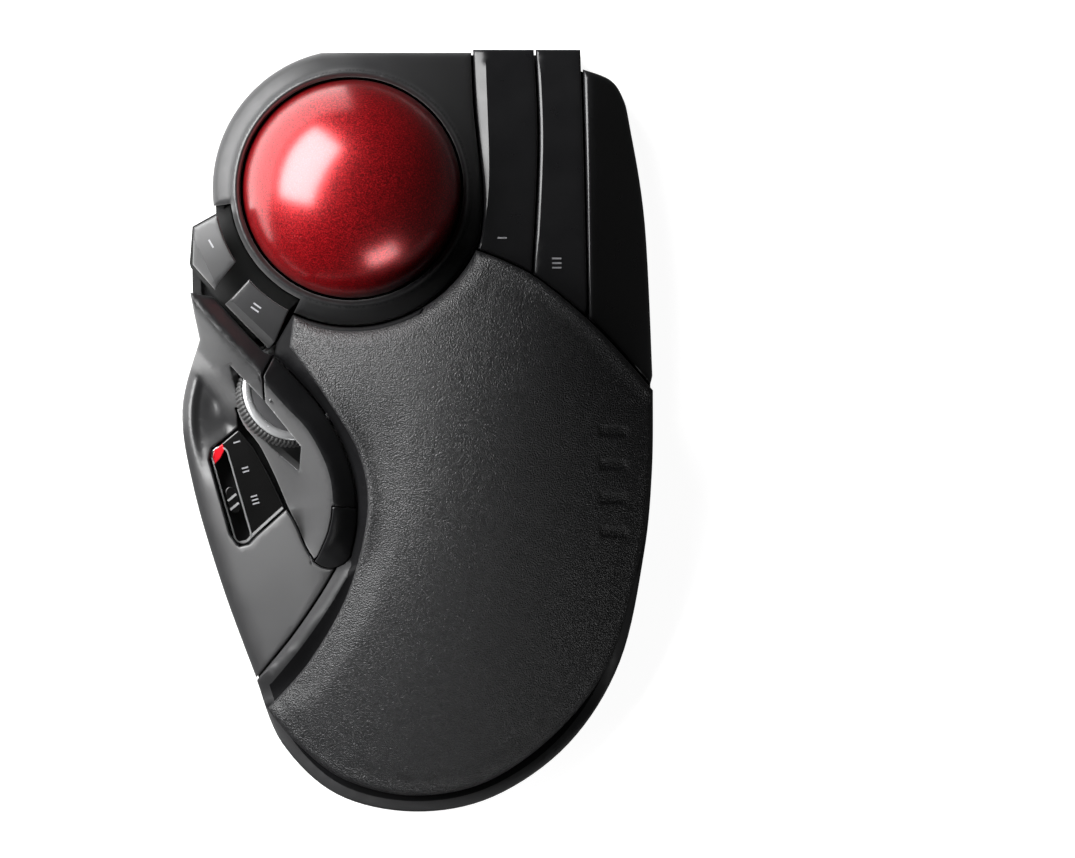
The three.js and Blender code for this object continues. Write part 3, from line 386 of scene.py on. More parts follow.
def key_top(p):
    """The keys' tops curve down to the front and lean to the right."""
    x, y = p[:, 0], p[:, 1]
    drop = KEY_DROP * np.maximum(0, (y - KEY_REAR_Y) / KEY_LENGTH) ** KEY_CURVE
    return KEY_TOP_Z - drop - KEY_TILT * (x - KEY_LEFT_X)


def flank(p):
    """The right side cover goes on from the keys' tops and falls steeply outwards."""
    over = np.maximum(0, p[:, 0] - FLANK_X)
    base = key_top(np.stack([np.full(len(p), FLANK_X), np.maximum(p[:, 1], FLANK_REAR_Y)], 1))
    return base + FLANK_LIFT - FLANK_SLOPE * over**2 / (over + FLANK_ROUND)


def left_bevel(path, width):
    """A function for how far a bevel along a key's left edge cuts the top down. The width depends on y."""
    return lambda p: BEVEL_SLOPE * np.maximum(0, width(p[:, 1]) - distance(p, path))


def bevel_line(path, width):
    """The points of a bevel's inner edge."""
    return np.stack([path[:, 0] + width(path[:, 1]), path[:, 1]], 1)


def palm(p):
    """The palm rest: a long fall to the wrist, a fall to the right, and a dip beside the thumb."""
    x, y = p[:, 0], p[:, 1]
    to_wrist = WRIST_FALL * np.maximum(0, (PALM_PEAK_Y - y) / WRIST_REACH) ** WRIST_CURVE
    to_front = FRONT_FALL * np.maximum(0, (y - PALM_PEAK_Y) / FRONT_REACH) ** 2
    to_right = RIGHT_FALL * (np.abs(x) / RIGHT_REACH) ** RIGHT_CURVE
    to_left = LEFT_FALL * (x / LEFT_REACH) ** 2
    dip = DIP_DEPTH * np.exp(-((x - DIP_X) ** 2) / DIP_SPREAD_X - (y - DIP_Y) ** 2 / DIP_SPREAD_Y)
    return PALM_PEAK - to_wrist - to_front - np.where(x > 0, to_right, to_left) - dip


def from_crest(p):
    """How far each point lies outside the crest line in plan, below 0 inside it, and the crest's height."""
    best = np.full(len(p), np.inf)
    offset, level = np.zeros(len(p)), np.zeros(len(p))
    for a, b in zip(CREST[:-1], CREST[1:]):
        d = (b - a)[:2]
        t = np.clip(((p - a[:2]) @ d) / (d @ d), 0, 1)
        away = p - a[:2] - t[:, None] * d
        reach = np.hypot(*away.T)
        side = np.where(d[0] * away[:, 1] - d[1] * away[:, 0] > 0, -1, 1)
        nearer = reach < best
        best[nearer] = reach[nearer]
        offset[nearer] = (reach * side)[nearer]
        level[nearer] = (a[2] + t * (b[2] - a[2]))[nearer]
    return offset, level


def thumb_side(p):
    """How far each point lies outside the crest line in plan, below 0 inside it."""
    return from_crest(p)[0]


def on_shaded_band(p):
    """Whether a point lies on the band inside the thumb face's crest, which is painted shade: it takes a
    darker material because it faces away from the light.
    """
    return (thumb_side(p) < 0) & (p[:, 1] > TAIL_Y)


def on_painted_light_trim(p):
    """Whether a point lies where light is painted with a lighter material: on the trim beside the skirt, or
    on the rim behind the palm rest.
    """
    beside = (distance(p, SKIRT_SEAM) < PAINTED_LIGHT_TRIM_WIDTH) & (p[:, 1] < TAIL_Y)
    return beside | (distance(p, REAR_EDGE) < PAINTED_LIGHT_RIM_WIDTH)


def thumb(p):
    """The steep thumb face outside its crest line, and the band that falls gently inside it."""
    offset, level = from_crest(p)
    lean, swing = (THUMB_SLOPE - BAND_SLOPE) / 2, (THUMB_SLOPE + BAND_SLOPE) / 2
    return level - lean * offset - swing * (np.sqrt(offset**2 + CREST_ROUND**2) - CREST_ROUND * CREST_LIFT)


def skirt(p):
    """The skirt under the thumb rises from its outer rim, with a sunken rest at the front."""
    d = distance(p, LEFT_EDGE)
    rise = RIM_RISE * (1 - np.exp(-d / RIM_ROUND)) + SKIRT_RISE * (1 - np.exp(-(d**2) / SKIRT_REACH**2))
    sunk = HOLLOW_DEPTH * smooth(HOLLOW_FROM, HOLLOW_TO, d)
    sunk += HOLLOW_SLOPE * np.clip(d - HOLLOW_TO, 0, HOLLOW_WIDTH)
    return SKIRT_Z + rise - sunk * smooth(*HOLLOW_BLEND, p[:, 1])


def left_side(p):
    """The thumb face runs into the skirt with a soft hollow."""
    y = p[:, 1]
    foot = np.maximum(0, distance(p, CREST_PLAN) - FACE_WIDTH) * smooth(*FOOT_BLEND, y) * (thumb_side(p) > 0)
    face, base = thumb(p) - FOOT_SLOPE * foot, skirt(p)
    lift = 0.5 * (face - base + np.sqrt((face - base) ** 2 + FACE_SOFTNESS**2)) - FACE_SINK
    return base + lift * smooth(*FACE_BLEND, y)


def stretch(line, step=0.6):
    """Even points along a straight line, clear of its ends."""
    a, b = np.array(line[0]), np.array(line[1])
    count = int(np.hypot(*(b - a)) / step)
    return np.array([a + (b - a) * k / count for k in range(3, count - 2)])


def outside(p, line):
    """How far each point lies on the right of a straight line, seen along it."""
    a, b = np.array(line[0]), np.array(line[1])
    d = (b - a) / np.hypot(*(b - a))
    return np.maximum(0, d[1] * (p - a)[:, 0] - d[0] * (p - a)[:, 1])


def pod_top(crease):
    """A function key's top falls away from the ball and turns down over a crease."""
    def height(p):
        fall = POD_KEY_SLOPE * (from_ball(p) - POD_KEY_R)
        return POD_KEY_TOP_Z - fall - POD_KEY_TURN * outside(p, crease)

    return height


# ---- mesh makers ----
def make(name, vertices, faces, material, body, replaces=()):
    """A smooth-shaded mesh in metres that rides with a CAD body."""
    mesh = bpy.data.meshes.new(name)
    corners = [tuple(float(c) * MM for c in v) for v in vertices]
    mesh.from_pydata(corners, [], [tuple(map(int, f)) for f in faces])
    mesh.validate()
    mesh.shade_smooth()
    piece = bpy.data.objects.new(name, mesh)
    bpy.context.scene.collection.objects.link(piece)
    mesh.materials.append(material)
    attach(piece, body)
    if replaces:
        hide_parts(*replaces)
    return piece


def grid_inside(loop, clear, step):
    """Points on a staggered grid inside the outline and clear of its edge."""
    (x0, y0), (x1, y1) = loop.min(0), loop.max(0)
    rows = np.arange(y0, y1, step * ROW_SPACING)
    columns = np.arange(x0, x1, step)
    points = np.array([(x + (step / 2 if i % 2 else 0), y) for i, y in enumerate(rows) for x in columns])
    points = points[inside(points, loop)]
    return points[distance(points, loop, True) > clear]


def plan_mesh(loop, holes, rounding, step, extra, lines):
    """Points and triangles of a cover's plan: rows along its edges, a grid between, and its creases."""
    rings = [loop, *holes]
    points, edges, first = [], [], 0
    for ring in rings:
        points.append(ring)
        edges += [(first + i, first + (i + 1) % len(ring)) for i in range(len(ring))]
        first += len(ring)
    for share in ROUNDING_RINGS:
        for ring in rings:
            moved = inset(ring, share * rounding * (1 if ring is loop else -1))
            if len(moved):
                points.append(moved)
    points.append(grid_inside(loop, rounding + step * 0.4, step))
    points += [np.array(e) for e in extra if len(e)]
    first = sum(len(q) for q in points)
    for line in lines:
        points.append(line)
        edges += [(first + i, first + i + 1) for i in range(len(line) - 1)]
        first += len(line)
    flat = np.vstack(points)
    found = delaunay_2d_cdt([Vector(map(float, p)) for p in flat], edges, [], 0, 1e-4)
    p = np.array([tuple(v) for v in found[0]])
    triangles = np.array(found[2])
    middle = p[triangles].mean(1)
    keep = inside(middle, loop)
    for hole in holes:
        keep &= ~inside(middle, hole)
    return p, triangles[keep]


def open_edges(faces):
    """The edges that only one face has, in that face's direction."""
    seen = dict.fromkeys((a, b) for f in faces for a, b in zip(f, f[1:] + f[:1]))
    return [(a, b) for a, b in seen if (b, a) not in seen]


def add_walls(vertices, faces, bottom, holes, cut_wall):
    """Walls straight down from the open edges, or along cut_wall at the edges of the holes."""
    rim = open_edges(faces)
    plan = np.array([vertices[a][:2] for a, b in rim])
    levels = bottom(plan) if callable(bottom) else np.full(len(rim), float(bottom))
    low = {}
    for (a, _), level, from_hole in zip(rim, levels, nearest(plan, holes)):
        x, y, top = vertices[a]
        low[a] = len(vertices)
        if cut_wall is not None and from_hole < 2 * ON_LINE:
            vertices.append((x + cut_wall[0], y + cut_wall[1], top + cut_wall[2]))
        else:
            vertices.append((x, y, min(level, top - LEAST_WALL)))
    for a, b in rim:
        if b in low:
            faces.append([b, a, low[a], low[b]])


def sharpen(piece, vertices, line):
    """The edges along a crease line are shaded as sharp."""
    on_line = distance(np.array(vertices)[:, :2], line) < ON_LINE
    for e in piece.data.edges:
        e.use_edge_sharp = e.use_edge_sharp or bool(on_line[e.vertices[0]] and on_line[e.vertices[1]])


def add_second(piece, material, where):
    """Another material on the faces whose middles lie where the function says."""
    piece.data.materials.append(material)
    middles = np.array([tuple(f.center) for f in piece.data.polygons]) / MM
    for f, chosen in zip(piece.data.polygons, where(middles[:, :2])):
        f.material_index = int(chosen)


def shell(name, outline, height, bottom, material, body, replaces=(), radius=1.0, step=2.0,
          edge=1.0, cuts=(), extra=(), lines=(), cut_wall=None, gap=SEAM, second=None):
    """A cover: its top follows a height, its edge is rounded, and its walls go down to the bottom.

    Height is a function of the points; bottom and radius are numbers or such functions. Step and edge are
    the distances between points inside and along the outline. Each cut is an outline taken out of the cover,
    and its walls follow cut_wall, a step in x, y and z, where one is given. Extra gives more points, and
    lines are sharp creases. Second is another material and the function that says where in plan it lies.
    """
    loop = densify(inset(outline, gap), edge)
    holes = [densify(np.array(c), edge) for c in cuts]
    size = radius if callable(radius) else (lambda p: np.full(len(p), float(radius)))
    p, triangles = plan_mesh(loop, holes, float(size(loop).max()), step, extra, lines)
    r = np.maximum(size(p), 1e-6)
    over = np.maximum(0, r - nearest(p, [loop, *holes]))
    z = height(p) - (r - np.sqrt(np.maximum(0, r**2 - over**2)))
    used = np.unique(triangles)
    number = {int(v): i for i, v in enumerate(used)}
    vertices = [(p[v, 0], p[v, 1], z[v]) for v in used]
    faces = [[number[int(v)] for v in f] for f in triangles]
    faces = [f if area(np.array([vertices[v][:2] for v in f])) > 0 else f[::-1] for f in faces]
    add_walls(vertices, faces, bottom, holes, cut_wall)
    piece = make(name, vertices, faces, material, body, replaces)
    for line in lines:
        sharpen(piece, vertices, line)
    if second:
        add_second(piece, *second)
    return piece


def turned(name, profile, sides, matrix, material, body, replaces=(), closed=False):
    """A surface of revolution about Z, then placed by a matrix in millimetres."""
    vertices, faces = [], []
    for k in range(sides):
        a = 2 * math.pi * k / sides
        for r, z in profile:
            vertices.append(matrix @ Vector((r * math.cos(a), r * math.sin(a), z)))
    n = len(profile)
    for k in range(sides):
        for i in range(n if closed else n - 1):
            j = (i + 1) % n
            a, b = k * n, (k + 1) % sides * n
            faces.append((a + i, b + i, b + j, a + j))
    return make(name, vertices, faces, material, body, replaces)


# ---- materials ----
class Nodes:
    """A small helper round one node material."""

    def __init__(self, name, **sockets):
        self.material = bpy.data.materials.new(name)
        self.material.use_nodes = True
        self.tree = self.material.node_tree
        self.shader = self.tree.nodes["Principled BSDF"]
        for socket, value in sockets.items():
            self.shader.inputs[socket.replace("_", " ")].default_value = value

    def add(self, kind, **settings):
        node = self.tree.nodes.new(kind)
        for key, value in settings.items():
            if hasattr(node, key):
                setattr(node, key, value)
            else:
                node.inputs[key.replace("_", " ")].default_value = value
        return node

    def link(self, source, target):
        self.tree.links.new(source, target)

    def place(self):
        return self.add("ShaderNodeTexCoord").outputs["Object"]

    def noise(self, scale, detail=4.0, roughness=0.55):
        node = self.add("ShaderNodeTexNoise", Scale=scale, Detail=detail, Roughness=roughness)
        self.link(self.place(), node.inputs["Vector"])
        return node.outputs["Fac"]

    def spread(self, source, low, high, out_low, out_high):
        node = self.add("ShaderNodeMapRange")
        node.inputs["From Min"].default_value = low
        node.inputs["From Max"].default_value = high
        node.inputs["To Min"].default_value = out_low
        node.inputs["To Max"].default_value = out_high
        self.link(source, node.inputs["Value"])
        return node.outputs["Result"]

    def colours(self, source, *stops):
        node = self.add("ShaderNodeValToRGB")
        ramp = node.color_ramp
        while len(ramp.elements) < len(stops):
            ramp.elements.new(0.5)
        for element, (at, colour) in zip(ramp.elements, stops):
            element.position = at
            element.color = (*colour, 1)
        self.link(source, node.inputs["Fac"])
        self.link(node.outputs["Color"], self.shader.inputs["Base Color"])

    def roughness(self, source):
        self.link(source, self.shader.inputs["Roughness"])

    def bump(self, source, strength, depth):
        node = self.add("ShaderNodeBump", Strength=strength, Distance=depth)
        self.link(source, node.inputs["Height"])
        self.link(node.outputs["Normal"], self.shader.inputs["Normal"])


def plastic(name, dark, light, rough, grain, depth, specular=0.5, sheen=0.0):
    """A satin moulding: a fine spark-eroded grain with slightly uneven polish."""
    n = Nodes(name, Specular_IOR_Level=specular, Sheen_Weight=sheen, Sheen_Roughness=0.45)
    n.colours(n.noise(60), (0.3, dark), (0.7, light))
    n.roughness(n.spread(n.noise(220), 0.3, 0.7, rough - 0.03, rough + 0.04))
    n.bump(n.noise(grain, 6.0), 0.35, depth)
    return n.material


def grip():
    """The palm rest's coating: a soft, fine leather-like grain."""
    n = Nodes("palm_coating", Specular_IOR_Level=0.5)
    n.colours(n.noise(2400, 2.0, 0.6), (0.38, (0.0025, 0.0025, 0.0028)), (0.62, (0.013, 0.013, 0.0137)))
    n.roughness(n.spread(n.noise(300), 0.3, 0.7, 0.37, 0.42))
    n.bump(n.noise(3100, 1.0, 0.5), 0.8, 0.00045)
    return n.material


def ball_gloss():
    """Deep red resin with fine flakes under a clear coat, and darker clouds."""
    n = Nodes("ball_resin", Metallic=0.7, Coat_Weight=0.9, Coat_Roughness=0.23, Specular_IOR_Level=0.5)
    speckle = n.noise(2600, 4.0, 0.7)
    cloud, flesh, flake = (0.07, 0.0004, 0.001), (0.26, 0.001, 0.004), (0.6, 0.01, 0.016)
    n.colours(speckle, (0.34, cloud), (0.5, flesh), (0.66, flake))
    n.roughness(n.spread(n.noise(60), 0.3, 0.7, 0.3, 0.36))
    return n.material


def metal(name, colour, rough, grain, metallic=1.0):
    """Plated or plain metal with a faint brushed unevenness."""
    n = Nodes(name, Metallic=metallic)
    n.colours(n.noise(90), (0.3, tuple(c * 0.9 for c in colour)), (0.7, colour))
    n.roughness(n.spread(n.noise(grain), 0.3, 0.7, rough * 0.8, rough * 1.3))
    n.bump(n.noise(grain * 2), 0.1, 0.00002)
    return n.material


def paint(name, colour):
    """The flat paint of a printed mark."""
    n = Nodes(name)
    n.colours(n.noise(200), (0.3, tuple(c * 0.9 for c in colour)), (0.7, colour))
    n.roughness(n.spread(n.noise(400), 0.3, 0.7, 0.35, 0.5))
    return n.material


SHELL = plastic("case_plastic", (0.007, 0.007, 0.0075), (0.009, 0.009, 0.0095), 0.38, 2200, 1.2e-5, 0.6, 0.16)
# Painted light: a lighter copy of the case plastic with more sheen, for the thumb faces and function keys
# that the key light falls on.
LIT_THUMB = plastic("lit_thumb_plastic", (0.009, 0.009, 0.0095), (0.011, 0.011, 0.0115), 0.36, 2600, 1e-5, 0.6, 0.32)
# Painted shade: a darker copy of the case plastic with less sheen, for the right keys and the right flank,
# which face away from the light.
SHADED_KEY = plastic("shaded_key_plastic", (0.004, 0.004, 0.0045), (0.006, 0.006, 0.0065), 0.3, 2600, 1e-5, 0.4, 0.04)
# Painted shade: a darker copy of the case plastic with less sheen, for the band inside the thumb face's crest
# and the thumb tail.
SHADED_BAND = plastic("shaded_band_plastic", (0.003, 0.003, 0.0035), (0.005, 0.005, 0.0055), 0.4, 2600, 1e-5, 0.35, 0.03)
# Painted light: a lighter, less glossy copy of the case plastic for the strip beside the skirt and the rim
# behind the palm rest, which catch the light.
PAINTED_LIGHT_TRIM = plastic("painted_light_trim", (0.014, 0.014, 0.0145), (0.02, 0.02, 0.0207), 0.55, 1500, 0.00001, 0.3)
TRIM = plastic("trim_plastic", (0.002, 0.002, 0.0022), (0.0035, 0.0035, 0.0038), 0.6, 1500, 0.00001, 0.06)
DISC = plastic("wheel_disc", (0.05, 0.05, 0.052), (0.075, 0.075, 0.077), 0.38, 1500, 0.00001)
GLOSS = plastic("window_gloss", (0.003, 0.003, 0.003), (0.005, 0.005, 0.005), 0.06, 900, 0.000002)
RUBBER = plastic("tyre_rubber", (0.016, 0.016, 0.016), (0.028, 0.028, 0.028), 0.55, 1500, 0.00006)
INNER = plastic("inner_plastic", (0.006, 0.006, 0.006), (0.01, 0.01, 0.01), 0.5, 1200, 0.00003)
BOARD = plastic("board_green", (0.01, 0.06, 0.025), (0.016, 0.09, 0.035), 0.4, 800, 0.00002)
CELL = plastic("cell_sleeve", (0.03, 0.1, 0.24), (0.05, 0.14, 0.32), 0.3, 700, 0.00001)
CERAMIC = plastic("bead_ceramic", (0.72, 0.7, 0.66), (0.8, 0.78, 0.74), 0.15, 900, 0.000005)
GRIP = grip()
BALL_RESIN = ball_gloss()
# Plated silver, also used for the painted highlights along the window's edges.
SILVER_AND_PAINTED_HIGHLIGHT = metal("plated_silver_and_painted_highlight", (0.5, 0.505, 0.51), 0.22, 500, 0.6)
STEEL = metal("plain_steel", (0.5, 0.51, 0.52), 0.32, 700)
LAMP = plastic("lamp_red", (0.35, 0.004, 0.01), (0.6, 0.012, 0.02), 0.1, 900, 0.000004)
PRINT = paint("printed_mark", (0.2, 0.2, 0.21))


# ---- the outer pieces ----
def near(path, reach):
    """1 on a path, falling to 0 at a distance from it."""
    return lambda p: 1 - smooth(0, reach, distance(p, path))


def marks(p):
    """Plain recessed bars near the right edge of the palm rest."""
    left, right = MARK_X
    across = smooth(left - 0.5, left + 0.3, p[:, 0]) * smooth(right + 0.5, right - 0.3, p[:, 0])
    along = sum(np.exp(-(((p[:, 1] - y) / MARK_HALF_WIDTH) ** 6)) for y in MARK_Y)
    return MARK_DEPTH * across * along


def palm_rest(p):
    """The palm surface with a raised bead and a crease along its left, front and rear edges."""
    bead = np.zeros(len(p))
    for line, fade in ((PAD_LEFT, smooth(*BEAD_BLEND, p[:, 1])), (PALM_FRONT, np.ones(len(p)))):
        d = distance(p, line)
        raised = BEAD_RISE * np.exp(-((d / BEAD_WIDTH) ** 4))
        groove = BEAD_GROOVE * np.exp(-(((d - BEAD_GROOVE_AT) / BEAD_GROOVE_WIDTH) ** 2))
        bead = np.maximum(bead, fade * (raised - groove))
    crease = REAR_GROOVE * np.exp(-(((distance(p, PAD_REAR) - REAR_GROOVE_AT) / REAR_GROOVE_WIDTH) ** 2))
    return palm(p) + bead - crease * smooth(*GROOVE_BLEND, p[:, 1]) - marks(p) - left_fall(p)


def palm_bottom(p):
    """The underside of the palm rest."""
    return palm(p) - PALM_DEPTH


def left_fall(p):
    """How far the palm rest has turned down along the rear half of its left edge."""
    y = p[:, 1]
    return EDGE_FALL * near(PAD_LEFT, EDGE_REACH)(p) * smooth(*EDGE_BLEND, y) * smooth(*WRIST_BLEND, y)


def palm_edge(p):
    """The edge is rounded widely along the ball, except by the corner next to the second function key."""
    from_corner = np.hypot(p[:, 0] - CORNER[0], p[:, 1] - CORNER[1])
    return PALM_ROUND + PALM_ROUND_AT_BALL * near(PALM_ARC, 6)(p) * smooth(*CORNER_BLEND, from_corner)


def seam_height():
    """The height of the thumb band and the skirt along the trim's outer edge."""
    y = SEAM_LINE[:, 1]
    low = SEAM_LOW + SEAM_CLIMB * smooth(*SEAM_BLEND, y)
    level = np.where(y > TAIL_Y, thumb(SEAM_LINE), low)
    padded = np.pad(level, SEAM_SMOOTHING // 2, "edge")
    return np.convolve(padded, np.ones(SEAM_SMOOTHING) / SEAM_SMOOTHING, "valid")


SEAM_HEIGHT = seam_height()


def frame_top(p):
    """Under the rest the frame is low. Beside it the trim climbs steeply; behind it there is a flat rim."""
    gaps = np.hypot(p[:, None, 0] - SEAM_LINE[None, :, 0], p[:, None, 1] - SEAM_LINE[None, :, 1])
    trim = SEAM_HEIGHT[np.argmin(gaps, 1)] - TRIM_STEP + distance(p, SEAM_LINE) * TRIM_SLOPE
    rim = RIM_HEIGHT + RIM_CLIMB * smooth(*RIM_BLEND, p[:, 1])
    beside = smooth(*TRIM_SIDE_BLEND, p[:, 0]) * smooth(*TRIM_BLEND, p[:, 1])
    return np.minimum(rim + (trim - rim) * beside, palm(p) - TRIM_UNDER_PALM - left_fall(p))


def trim_bottom(p):
    """The trim's walls stop high beside the wheel, clear of the end of its axle."""
    beside_wheel = np.hypot(p[:, 0] - WHEEL_CENTRE[0], p[:, 1] - WHEEL_CENTRE[1]) < AXLE_ROOM_R
    return np.where(beside_wheel, AXLE_ROOM_Z, COVER_BOTTOM)


def button_bottom(p):
    """The thumb button's walls end high where its face is high, clear of the wheel's parts."""
    return np.maximum(BUTTON_BOTTOM, thumb(p) - BUTTON_WALL)


def right_bevel_width(y):
    return RIGHT_BEVEL + RIGHT_BEVEL_GROWTH * smooth(*BEVEL_BLEND, y)


def third_bevel_width(y):
    return np.full(len(y), THIRD_BEVEL)


def right_key_top(p):
    return key_top(p) - left_bevel(KEY_LEFT, right_bevel_width)(p)


def third_key_top(p):
    return key_top(p) - left_bevel(KEY_MIDDLE, third_bevel_width)(p)


def wheel_matrix():
    """The wheel's place. Its axle leans out over the thumb face."""
    return Matrix.Translation(WHEEL_CENTRE) @ Matrix(
        [(SLOT_DIRECTION[i], SLOT_INWARDS[i], AXLE[i], 0) for i in range(3)] + [(0, 0, 0, 1)]
    )


def painted_light_strip(width, edge, front=math.inf):
    """Points along the inner border of a strip of the trim where light is painted with a lighter colour,
    behind a limit in y.
    """
    line = inset(densify(FRAME, 0.8), width)
    return line[(line[:, 1] < front) & (distance(line, edge) < width + 0.2)]


def mark_points():
    """A fine grid over the recessed bars."""
    x, y = np.meshgrid(
        np.arange(MARK_X[0] - 1, MARK_X[1] + 1, 0.5), np.arange(MARK_Y[0] - 2.5, MARK_Y[-1] + 2.5, 0.4)
    )
    return np.stack([x.ravel(), y.ravel()], 1)


AXLE = Vector((0, 0, math.cos(WHEEL_LEAN))) - THUMB_OUT * math.sin(WHEEL_LEAN)
SLOT_INWARDS = AXLE.cross(SLOT_DIRECTION).normalized()
WHEEL_MATRIX = wheel_matrix()
SLOT_WALL = tuple(SLOT_INWARDS * SLOT_WALL_LENGTH)
hole = arc(HOLE_R, 0, 360, 96)[:-1]
deck_rings = [arc(HOLE_R + r, 0, 360, 220)[:-1] for r in DECK_RINGS]
deck_rings = [r[inside(r, inset(BEZEL, 1.0))] for r in deck_rings]
painted_light_trim_line = painted_light_strip(PAINTED_LIGHT_TRIM_WIDTH, SKIRT_SEAM, TAIL_Y)
painted_light_rim_line = painted_light_strip(PAINTED_LIGHT_RIM_WIDTH, REAR_EDGE)
skirt_rings = [inset(densify(LEFT_COVER, 0.7), d) for d in HOLLOW_RINGS]
skirt_rings = [r[distance(r, LEFT_EDGE) < HOLLOW_RINGS[-1] + 0.2] for r in skirt_rings]


def crest_line(outline, shift=0.0):
    """The stretch of the crest line that crosses a cover, clear of the cover's edge, moved to one side."""
    along = np.gradient(CREST_PLAN, axis=0)
    along /= np.hypot(*along.T)[:, None]
    path = CREST_PLAN + shift * np.stack([-along[:, 1], along[:, 0]], 1)
    return path[inside(path, outline) & (distance(path, outline, True) > 0.9)]


def crest_sides(outline):
    """Rows of points on both sides of the crest line."""
    return [crest_line(outline, CREST_SIDE), crest_line(outline, -CREST_SIDE)]


shell("palm_rest", PAD, palm_rest, palm_bottom, GRIP, "case", ["palm_pad"],
      radius=palm_edge, step=1.6, extra=[mark_points()])
# Painted light: the lighter trim material goes on the strips beside the skirt and behind the palm rest.
shell("palm_trim", FRAME, frame_top, trim_bottom, TRIM, "case", ["palm_frame"],
      radius=0.6, step=1.6, edge=0.9, extra=[densify(PAD, 1.0), painted_light_trim_line, painted_light_rim_line],
      second=(PAINTED_LIGHT_TRIM, on_painted_light_trim))
shell("ball_housing", BEZEL, deck, COVER_BOTTOM, SHELL, "case", ["ball_bezel"],
      radius=1.4, step=1.7, edge=0.5, cuts=[hole], extra=deck_rings)
# Painted shade: the right flank takes the darker key plastic.
shell("right_flank", RIGHT_COVER, flank, COVER_BOTTOM, SHADED_KEY, "case", ["right_side_cover"],
      radius=1.2, step=1.6)
# Painted shade: the band inside the crest takes the darker band plastic.
shell("left_skirt", LEFT_COVER, left_side, COVER_BOTTOM, SHELL, "case", ["left_side_cover"],
      radius=0.5, step=1.2, edge=0.8, cuts=[SLOT], cut_wall=SLOT_WALL, lines=[crest_line(LEFT_COVER)],
      extra=[*crest_sides(LEFT_COVER), *skirt_rings], second=(SHADED_BAND, on_shaded_band))
# Painted light on the thumb face, and painted shade on the band inside its crest.
shell("left_click", LEFT_BUTTON, thumb, button_bottom, LIT_THUMB, "left_button_body", ["left_button"],
      radius=0.4, step=1.0, edge=0.7, cuts=[SLOT], cut_wall=SLOT_WALL, lines=[crest_line(LEFT_BUTTON)],
      extra=crest_sides(LEFT_BUTTON), second=(SHADED_BAND, on_shaded_band))
# Painted shade: the whole tail takes the darker band plastic.
shell("thumb_tail_cap", TAIL, thumb, BUTTON_BOTTOM, SHADED_BAND, "case", ["thumb_tail"],
      radius=0.3, step=1.0, edge=0.7, gap=0.05)
# Painted shade: both right keys take the darker key plastic.
shell("right_click_key", RIGHT_KEY, right_key_top, KEY_BOTTOM, SHADED_KEY, "right_key_body", ["right_key"],
      radius=0.6, step=1.6, lines=[bevel_line(KEY_LEFT, right_bevel_width)[2:-2]])
shell("third_function_key", FN3_KEY, third_key_top, KEY_BOTTOM, SHADED_KEY, "fn3_body", ["fn3_key"],
      radius=0.6, step=1.6, lines=[bevel_line(KEY_MIDDLE, third_bevel_width)[2:-2]])
# Painted light: both function keys take the lighter thumb plastic.
shell("first_function_key", FN1, pod_top(FN1_CREASE), POD_KEY_BOTTOM, LIT_THUMB, "fn1_body", ["fn1_key"],
      radius=0.45, step=0.9, edge=0.6, lines=[stretch(FN1_CREASE)])
shell("second_function_key", FN2, pod_top(FN2_CREASE), POD_KEY_BOTTOM, LIT_THUMB, "fn2_body", ["fn2_key"],
      radius=0.45, step=0.9, edge=0.6, lines=[stretch(FN2_CREASE)])


def ball():
    turns = [math.radians(t) for t in range(0, 181, 2)]
    profile = [(BALL_R * math.sin(t), -BALL_R * math.cos(t)) for t in turns]
    profile[0] = (0.001, -BALL_R)
    profile[-1] = (0.001, BALL_R)
    place = Matrix.Translation(BALL)
    turned("ball_sphere", profile, 128, place, BALL_RESIN, "ball_body", ["ball"])


def wheel():
    """A bright ring with a dished face."""
    h = WHEEL_WIDTH / 2
    upper = [
        (HUB_R, h - 0.5), (HUB_R - 0.5, h), (10.5, h), (10.2, h - 0.2), (DISH_R, h - DISH_DEPTH),
        (AXLE_HOLE_R, h - DISH_DEPTH),
    ]
    profile = [(r, -z) for r, z in upper[::-1]] + upper
    turned("wheel_ring", profile, 96, WHEEL_MATRIX, SILVER_AND_PAINTED_HIGHLIGHT, "wheel_body", ["wheel_hub"],
           closed=True)
    disc = [(AXLE_HOLE_R, h - 0.55), (1.9, h - 0.35), (9.5, h - 0.35), (9.8, h - 0.5)]
    turned("wheel_face", disc, 96, WHEEL_MATRIX, DISC, "wheel_body")


def tyre():
    """The knurled tyre round the ring."""
    vertices, faces = [], []
    half = WHEEL_WIDTH / 2 - 0.7
    count = TOOTH_COUNT * TOOTH_STEPS
    section = [
        (HUB_R + 0.1, -half), (WHEEL_R - 0.5, -half), (WHEEL_R, -half + 0.5),
        (WHEEL_R, half - 0.5), (WHEEL_R - 0.5, half), (HUB_R + 0.1, half),
    ]
    for k in range(count):
        a = 2 * math.pi * k / count
        groove = TOOTH_DEPTH * max(0.0, math.cos(2 * math.pi * k / TOOTH_STEPS))
        for r, z in section:
            r -= groove if r > HUB_R + 0.2 else 0
            vertices.append(WHEEL_MATRIX @ Vector((r * math.cos(a), r * math.sin(a), z)))
    n = len(section)
    for k in range(count):
        for i in range(n):
            a, b = k * n, (k + 1) % count * n
            faces.append((a + i, b + i, b + (i + 1) % n, a + (i + 1) % n))
    make("wheel_tread", vertices, faces, RUBBER, "wheel_body", ["wheel_tyre"])


